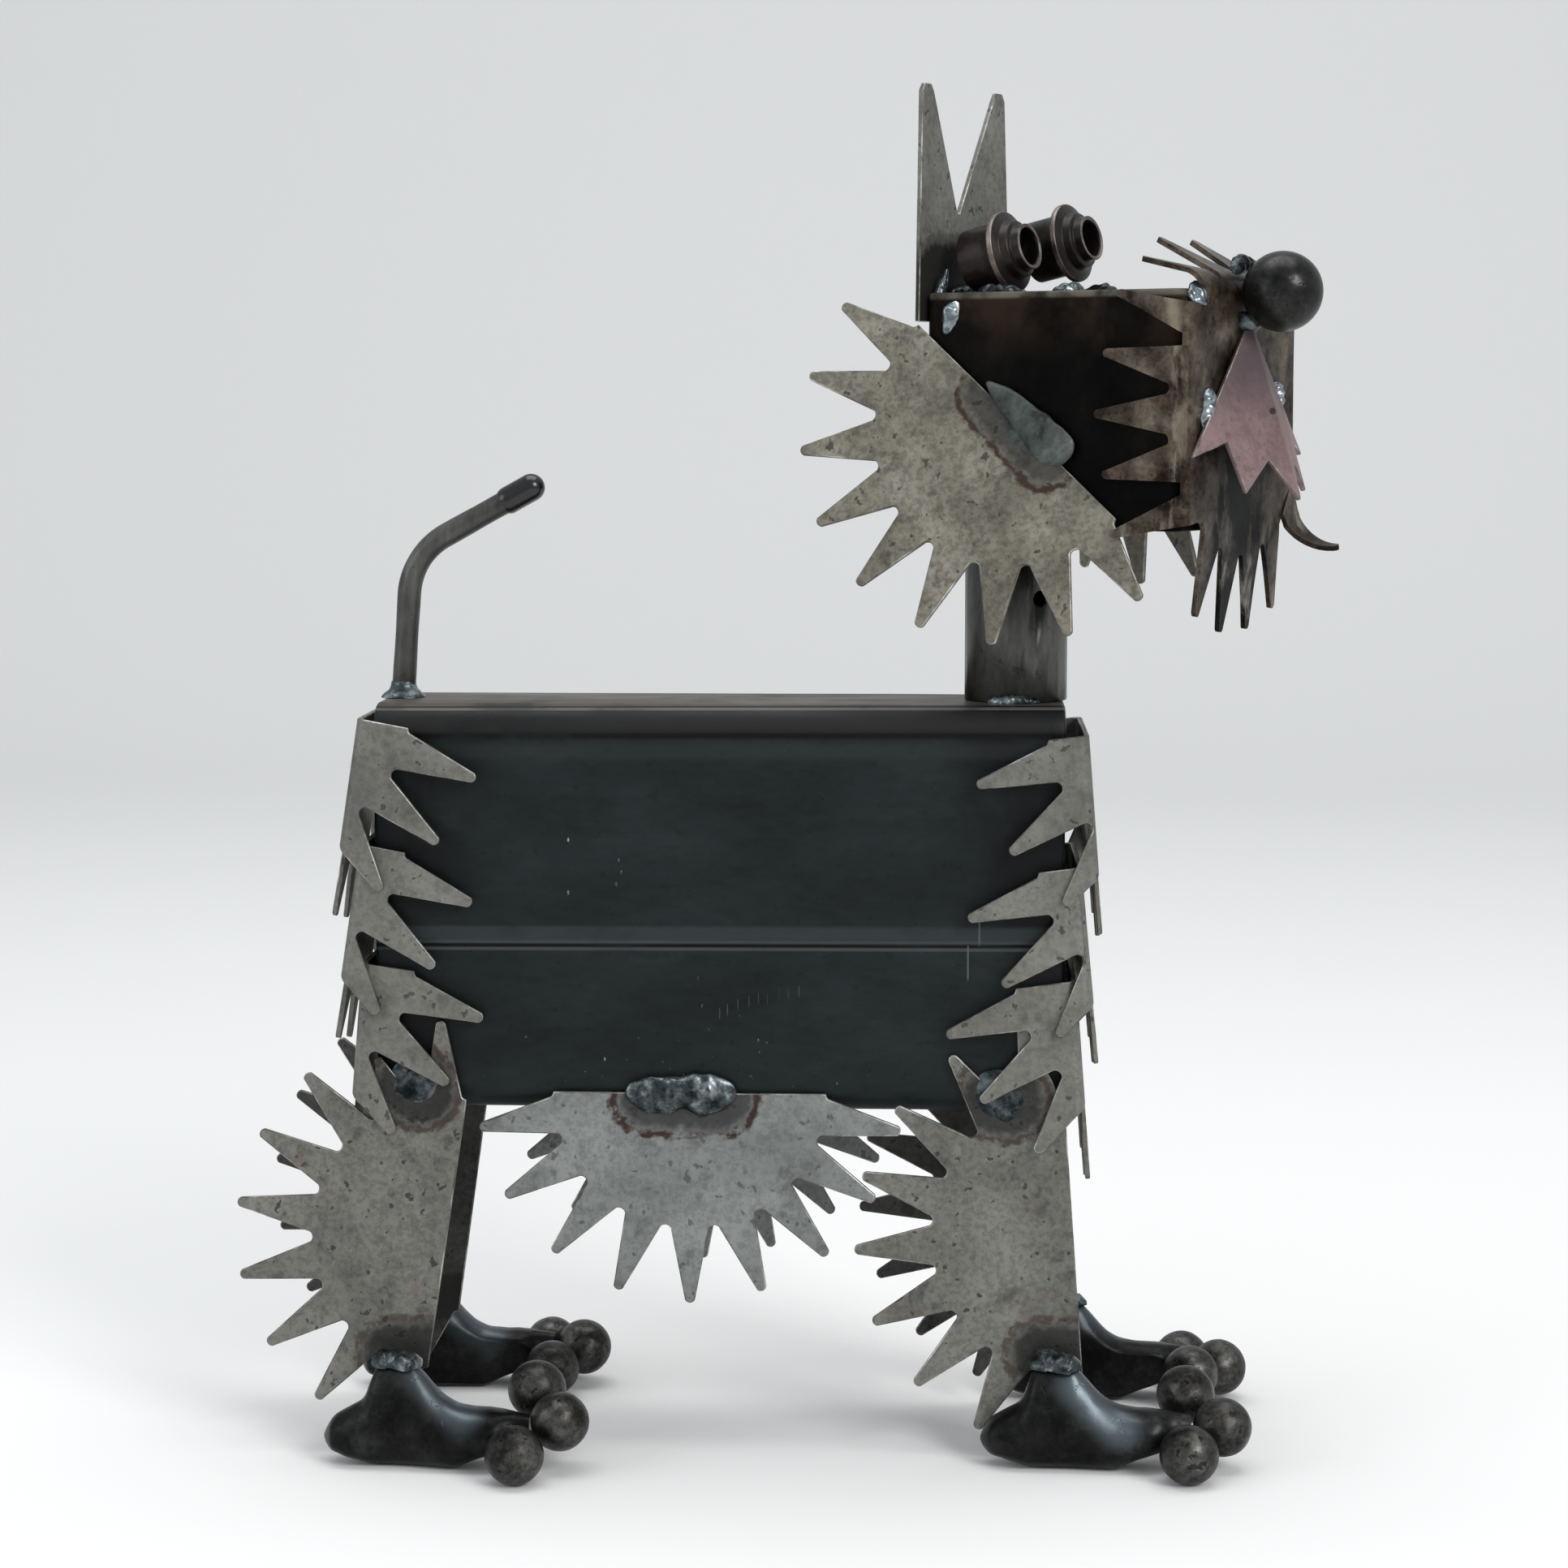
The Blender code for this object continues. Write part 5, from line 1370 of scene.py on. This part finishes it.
# %% [markdown]
# ## Weld beads
# A weld bead is a low half-round that the welder has laid down in ripples. Each one here is an
# ellipse carried along a short path: its width and height swell from nothing at each end, a
# ripple runs across it every millimetre or so, and lumps make it irregular. Its lower half is
# sunk into the steel so that no edge floats.
# %% Weld bead
def weld_bead(name, path, normal, width, height, look, seed, ripples, rough, widths):
    """An ellipse of half-width and height carried along a path of row-millimetre points.

    Each end swells as the root of 1 - |2t - 1|^3, and widths are factors spread along the path.
    """
    path = np.array(path, float)
    normal = np.array(normal, float) / np.linalg.norm(normal)
    run = np.linspace(0, 1, 80)
    knots = np.linspace(0, 1, len(path))
    centre = np.stack([smoothed(knots, path[:, axis], run, 0.04) for axis in range(3)], axis=-1)
    along = np.gradient(centre, axis=0)
    along /= np.linalg.norm(along, axis=1)[:, None]
    across = np.cross(normal, along)
    across /= np.linalg.norm(across, axis=1)[:, None]
    swell = np.sqrt(np.clip(1 - np.abs(2 * run - 1) ** 3, 0.004, 1))
    wide = width * swell * smoothed(np.linspace(0, 1, len(widths)), widths, run, 0.05)
    angle = np.linspace(0, 2 * np.pi, 40, endpoint=False)
    c, s = np.cos(angle), np.sin(angle)
    chevron = np.sin(2 * np.pi * ripples * run[:, None] + 2.2 * c ** 2)
    tall = height * swell[:, None] * (1 + 0.09 * chevron)
    shape = (centre[:, None] + across[:, None] * (wide[:, None] * c)[..., None]
             + normal * (tall * np.where(s > 0, s, 0.35 * s))[..., None])
    size = max(width, 1.5)
    bumps = lumps(shape, 2.6 * size, seed) + 0.55 * lumps(shape, 0.9 * size, seed + 1)
    push = rough * width * bumps[..., None] * (swell[:, None, None] ** 2)
    out = across[:, None] * c[:, None] + normal * np.maximum(s, 0)[:, None]
    return loft(name, shape + out * push, look, sharp=80)


near, far = (0.0, -1.0, 0.0), (0.0, 1.0, 0.0)
body_beads = (
    ("belly_weld", ((-29, -27.8, 110), (-20, -28.0, 109), (-11, -28.0, 110.4), (-3, -28.0, 109.4),
                    (5.5, -27.8, 110.4)), near, 6.4, 2.3, "weld", 21, 7, 0.3, (0.8, 1.0, 0.66, 1.05, 0.8)),
    ("belly_weld_far", ((-26, 28.0, 110), (-10, 28.0, 111), (4, 28.0, 110)), far, 5.8, 2.6,
     "weld", 29, 9, 0.1, (1, 1)),
    ("rear_leg_weld", ((-96, -28.4, 119), (-92, -28.8, 113), (-85, -28.7, 108)), near, 7.4, 0.9,
     "dark_weld", 33, 3, 0.16, (0.7, 1.15, 1.0)),
    ("rear_leg_crater", ((-92.9, -29.9, 116.4), (-92.5, -29.9, 115.9)), near, 1.2, 0.8,
     "eye_rim", 35, 9, 0.05, (1, 1)),
    ("front_leg_weld", ((76, -27.5, 115), (83.5, -27.8, 109.5), (92, -27.6, 106.5)), near, 7.2, 0.9,
     "dark_weld", 37, 3, 0.16, (0.8, 1.1, 0.95)),
    ("rear_leg_weld_far", ((-95, 28.7, 119), (-84, 29.0, 107)), far, 6.2, 2.7, "weld", 41, 9, 0.1, (1, 1)),
    ("front_leg_weld_far", ((77, 28.0, 115), (93, 28.0, 107)), far, 6.2, 2.7, "weld", 43, 9, 0.1, (1, 1)),
)
for name, path, direction, *rest in body_beads:
    weld_bead(name, on_dog(path), direction, *rest)
for (end_name, word), (x, y) in foot_centres.items():
    out = -1.0 if word == "near" else 1.0
    weld_bead(f"{end_name}_foot_weld_{word}",
              ((x - 8.0, y, 30.2), (x - 3, y - out, 31.6), (x + 2.5, y, 30.8), (x + 8.0, y, 30.2)),
              (0, 0.25 * out, 1), 5.4, 3.2, "weld", int(x) % 50, 5, 0.2, (0.8, 1.1, 0.85, 1.0, 0.8))
neck_edge = NECK_DIAMETER / 2
turn = np.radians(np.linspace(-125, -62, 7))
for name, side in (("neck_base_weld", -1), ("neck_base_weld_far", 1)):
    ring = np.stack((NECK_X + neck_edge * np.cos(turn), -side * neck_edge * np.sin(turn),
                     np.full(7, BODY_TOP + 0.4)), axis=-1)
    weld_bead(name, on_dog(ring), (0, 0.8 * side, 1), 2.0, 2.2, "weld", 51 + side, 9, 0.2, (1, 1))
collar_profile = ((2.0, 4.8), (3.7, 4.8), (3.9, 3.2), (4.6, 1.9), (5.9, 0.9), (6.6, 0.1), (6.6, -0.4),
                  (2.0, -0.4))
collar = spun(eased(collar_profile, 0.5), 60) + on_dog((TAIL_X, 0.0, BODY_TOP + 0.3))
collar[..., :2] += 0.35 * lumps(collar, 4.0, 57)[..., None]
collar[..., 2] += 0.4 * lumps(collar, 3.0, 58)
loft("tail_weld", collar, "weld", sharp=80, capped=False)


# %% [markdown]
# The head has its own beads: a long smooth one down the edge of the ruff, a cluster where the
# ears and the eyes meet the head, a knob under the nose and two bright ones beside the mouth.
# They are laid out in the head's own axes and turned with it.
# %% Weld beads on the head
cheek = -HEAD_WIDTH / 2
face = HEAD_LENGTH / 2 + MUZZLE_STANDOFF + SHEET
head_beads = (
    ("ruff_weld", ((-21, cheek - 1.2, 43), (-12, cheek - 1.8, 36), (-4, cheek - 2.0, 29),
                   (3, cheek - 2.0, 23), (6, cheek - 1.4, 19)), near,
     5.4, 2.2, "dull_weld", 61, 11, 0.2, (0.35, 0.85, 1.0, 1.25, 1.3)),
    ("ruff_weld_skirt", ((-22, cheek - 1.6, 37), (-14, cheek - 1.9, 27), (-6, cheek - 1.9, 19),
                         (3, cheek - 1.6, 14)), near,
     4.9, 1.3, "dull_weld", 62, 9, 0.16, (0.4, 0.9, 1.1, 0.8)),
    ("ruff_weld_far", ((-20, -cheek + 1.4, 49), (4, -cheek + 1.8, 31)), (0, 1, 0), 4.6, 2.2, "dull_weld",
     63, 5, 0.1, (0.6, 1.1)),
    ("ear_weld_low", ((-41, cheek + 4, 61), (-39.5, cheek + 4.5, 69), (-38, cheek + 6, 76)), (0.5, -0.8, 0.2),
     1.8, 2.2, "bright_weld", 65, 7, 0.2, (1.2, 1.0, 0.5)),
    ("ear_weld_side", ((-35, cheek - 0.2, 56), (-33, cheek + 0.2, 63), (-31, cheek + 0.3, 66)),
     (0.3, -0.9, 0.3), 2.6, 1.6, "bright_weld", 66, 4, 0.34, (0.7, 1.1, 0.6)),
    ("ear_weld_top", ((-40, -24, 68.8), (-40, 0, 69.2), (-40, 16, 68.8)), (0.6, 0, 1), 3.0, 2.8,
     "weld", 67, 12, 0.2, (1, 1)),
    ("eye_weld_near", ((-27, -30, 68.2), (-20, -31, 68.6), (-12, -30, 68.2)), (0, -0.3, 1), 3.2, 2.6,
     "dark_weld", 71, 4, 0.22, (0.8, 1.1, 0.7)),
    ("eye_weld_middle", ((-14, -9, 68.6), (-10, -2, 69.2), (-12, 6, 68.6)), (0.2, 0, 1), 2.4, 3.0,
     "weld", 73, 5, 0.25, (1, 1)),
    ("eye_weld_far", ((-20, 20, 68.6), (-12, 21, 70.0), (-6, 20, 68.6)), (0, 0.2, 1), 3.0, 2.6,
     "dark_weld", 75, 4, 0.25, (1, 1)),
    ("nose_weld", ((face, -5, 60.5), (face + 1, 0, 59.5), (face, 5, 60.5)), (1, 0, 0), 3.2, 4.0,
     "dark_weld", 77, 3, 0.25, (1, 1)),
    ("nose_weld_top", ((face - 1, -8, 74), (face - 1, 0, 77), (face - 1, 8, 75)), (1, 0, 0.5), 2.6, 2.2,
     "dark_weld", 79, 5, 0.3, (1, 1)),
    ("muzzle_weld_corner", ((face - 3, -32, 66), (face - 2, -27, 67.5), (face - 2, -22, 67)),
     (0.8, -0.3, 0.5), 3.4, 1.6, "bright_weld", 81, 5, 0.3, (0.9, 1.15, 0.6)),
    ("mouth_weld_near", ((face, -26.5, 28.5), (face, -25.5, 33), (face, -25, 36), (face, -24.5, 41)),
     (1, 0, 0), 3.6, 2.8, "bright_weld", 83, 4, 0.14, (0.9, 1.05, 0.7, 1.0, 0.7)),
    ("mouth_weld_far", ((face, 22, 34), (face, 21, 39), (face, 20, 43)), (1, 0, 0), 2.6, 2.6,
     "bright_weld", 85, 4, 0.15, (1, 1)),
)
for name, path, direction, *rest in head_beads:
    weld_bead(name, on_head(path), head_direction(direction), *rest)
print(len(head_beads), "beads on the head")


# %% [markdown]
# ## Spatter and the faint stamped row
# Round every weld lie small beads of spatter. They are many and tiny, so each is only a low dome
# of a few faces, and all of them are one mesh. The worn row of marks low on the body can't be
# read in the photograph, and here it is a row of shallow slanting strokes.
# %% Spatter and strokes
def domes(name, centres, sizes, look, stretch=(1.0, 1.0, 1.0)):
    """One low dome per centre: a small eight-sided grid, copied by adding every centre to it."""
    lat = np.linspace(-1.2, 1.35, 6)[:, None]
    lon = np.linspace(0, 2 * np.pi, 8, endpoint=False)[None]
    unit = np.stack(np.broadcast_arrays(np.cos(lat) * np.cos(lon), -np.sin(lat),
                                        np.cos(lat) * np.sin(lon)), axis=-1).reshape(-1, 3)
    faces = np.array(grid_faces(6, 8))
    points = centres[:, None] + unit[None] * sizes[:, None, None] * np.array(stretch)
    all_faces = [(faces + 48 * i).tolist() for i in range(len(centres))]
    ends = [[list(range(48 * i, 48 * i + 8)), list(range(48 * i + 40, 48 * i + 48))]
            for i in range(len(centres))]
    mesh = closed_mesh(name, points, sum(all_faces, []) + sum(ends, []))
    return add_piece(name, mesh, look, sharp=60)


rng = np.random.default_rng(8)
body_face = SHIFT_MM[1] - BODY_WIDTH / 2
seen = np.array(((-45.1, 185.3), (-30.1, 179.3), (-29.4, 175.6), (-45.2, 169.5), (-6.6, 144.1),
                 (-5.4, 135.6), (-34.6, 119.3), (-2.3, 119.8), (-30.9, 172.0), (79.7, 160.0)))
seen[:, 0] += SHIFT_MM[0]
scatter = rng.normal((SHIFT_MM[0] - 11, 115), (26, 7), (46, 2))
scatter = scatter[(scatter[:, 1] > 108) & (np.abs(scatter[:, 0] - SHIFT_MM[0] + 11) < 70)]
flat_spots = np.concatenate((seen, scatter))
spots = np.stack((flat_spots[:, 0], np.full(len(flat_spots), body_face), flat_spots[:, 1]), axis=-1)
radii = np.concatenate((rng.uniform(0.35, 0.65, len(seen)), rng.uniform(0.12, 0.34, len(scatter))))
domes("body_spatter", spots, radii, "weld", (0.8, 0.5, 1.5))
mark_x = np.linspace(-0.5, 23.5, 9)
strokes = np.stack((mark_x + SHIFT_MM[0], np.full(9, body_face), 134.4 + 0.27 * mark_x), axis=-1)
domes("shallow_strokes", strokes + rng.normal(0, (0.35, 0, 0.35), (9, 3)), np.full(9, 0.34), "tube",
      (0.6, 0.3, 6.0))
print(len(spots), "beads of spatter")


# %% [markdown]
# ## Floor, light and camera
# The floor is one sheet that sweeps up behind the dog, so no horizon shows. The light is soft and
# even, with one broad lamp ahead and above on the camera's side for the balls' highlights. The
# camera's place and direction were worked out from the photograph's own perspective.
# %% Stage
sweep = np.linspace(0, 1, 60)
bend_angle = np.clip((sweep - 0.45) / 0.2, 0, 1) * np.pi / 2
depth = np.where(sweep < 0.45, -2.2 + sweep / 0.45 * 4.0, 1.8 + 0.8 * np.sin(bend_angle))
height = np.where(sweep < 0.45, 0.0, 0.8 * (1 - np.cos(bend_angle)))
height = height + np.clip(sweep - 0.65, 0, 1) / 0.35 * 2.0
sides = np.linspace(-4, 4, 12)
floor_points = np.stack((np.broadcast_to(sides, (60, 12)), np.broadcast_to(depth[:, None], (60, 12)),
                         np.broadcast_to(height[:, None], (60, 12))), axis=-1)
row, column = np.meshgrid(np.arange(59), np.arange(11), indexing="ij")
floor_faces = np.stack((row * 12 + column, row * 12 + column + 1, (row + 1) * 12 + column + 1,
                        (row + 1) * 12 + column), axis=-1).reshape(-1, 4)
floor_mesh = bpy.data.meshes.new("pale_floor")
floor_mesh.from_pydata(floor_points.reshape(-1, 3).tolist(), [], floor_faces.tolist())
floor_mesh.shade_smooth()
floor = bpy.data.objects.new("pale_floor", floor_mesh)
bpy.context.scene.collection.objects.link(floor)
floor_mesh.materials.append(plain("pale paper", (0.80, 0.80, 0.79), 0.9))

world = bpy.data.worlds.new("soft studio")
bpy.context.scene.world = world
world.use_nodes = True
world.node_tree.nodes["Background"].inputs["Color"].default_value = (0.93, 0.96, 1.0, 1.0)
world.node_tree.nodes["Background"].inputs["Strength"].default_value = 0.62


def lamp(name, place, target, size, power, colour=(1.0, 1.0, 1.0)):
    """A broad lamp of power watts, aimed from its place at the target."""
    light = bpy.data.lights.new(name, "AREA")
    light.shape = "RECTANGLE"
    light.size, light.size_y = size
    light.energy = power
    light.color = colour
    made = bpy.data.objects.new(name, light)
    made.location = place
    made.rotation_euler = (Vector(target) - Vector(place)).to_track_quat("-Z", "Y").to_euler()
    bpy.context.scene.collection.objects.link(made)


lamp("broad_front_lamp", (1.3, -1.5, 1.35), (0, 0, 0.2), (0.9, 0.9), 26.0)
lamp("left_lamp", (-1.8, -1.0, 0.9), (0, 0, 0.15), (1.2, 1.2), 9.0, (0.93, 0.97, 1.0))
lamp("top_lamp", (0.0, 0.1, 1.9), (0, 0, 0), (1.6, 1.2), 18.0)

FOCAL_PIXELS = 4182.0
PICTURE_PIXELS = 1932.0
SENSOR = 36.0
CAMERA_PLACE = Vector((0.0684, -1.0206, 0.3133))
right = Vector((0.99876879, 0.04960753, 0.0))
up = Vector((-0.00549376, 0.11060817, 0.99384891))
back = right.cross(up)
camera_data = bpy.data.cameras.new("camera")
camera_data.sensor_width = SENSOR
camera_data.lens = FOCAL_PIXELS / PICTURE_PIXELS * SENSOR
camera = bpy.data.objects.new("camera", camera_data)
turned_axes = Matrix((right, up, back)).transposed().to_4x4()
camera.matrix_world = Matrix.Translation(CAMERA_PLACE + Vector(SHIFT)) @ turned_axes
bpy.context.scene.collection.objects.link(camera)
bpy.context.scene.camera = camera
bpy.context.scene.view_settings.view_transform = "Standard"
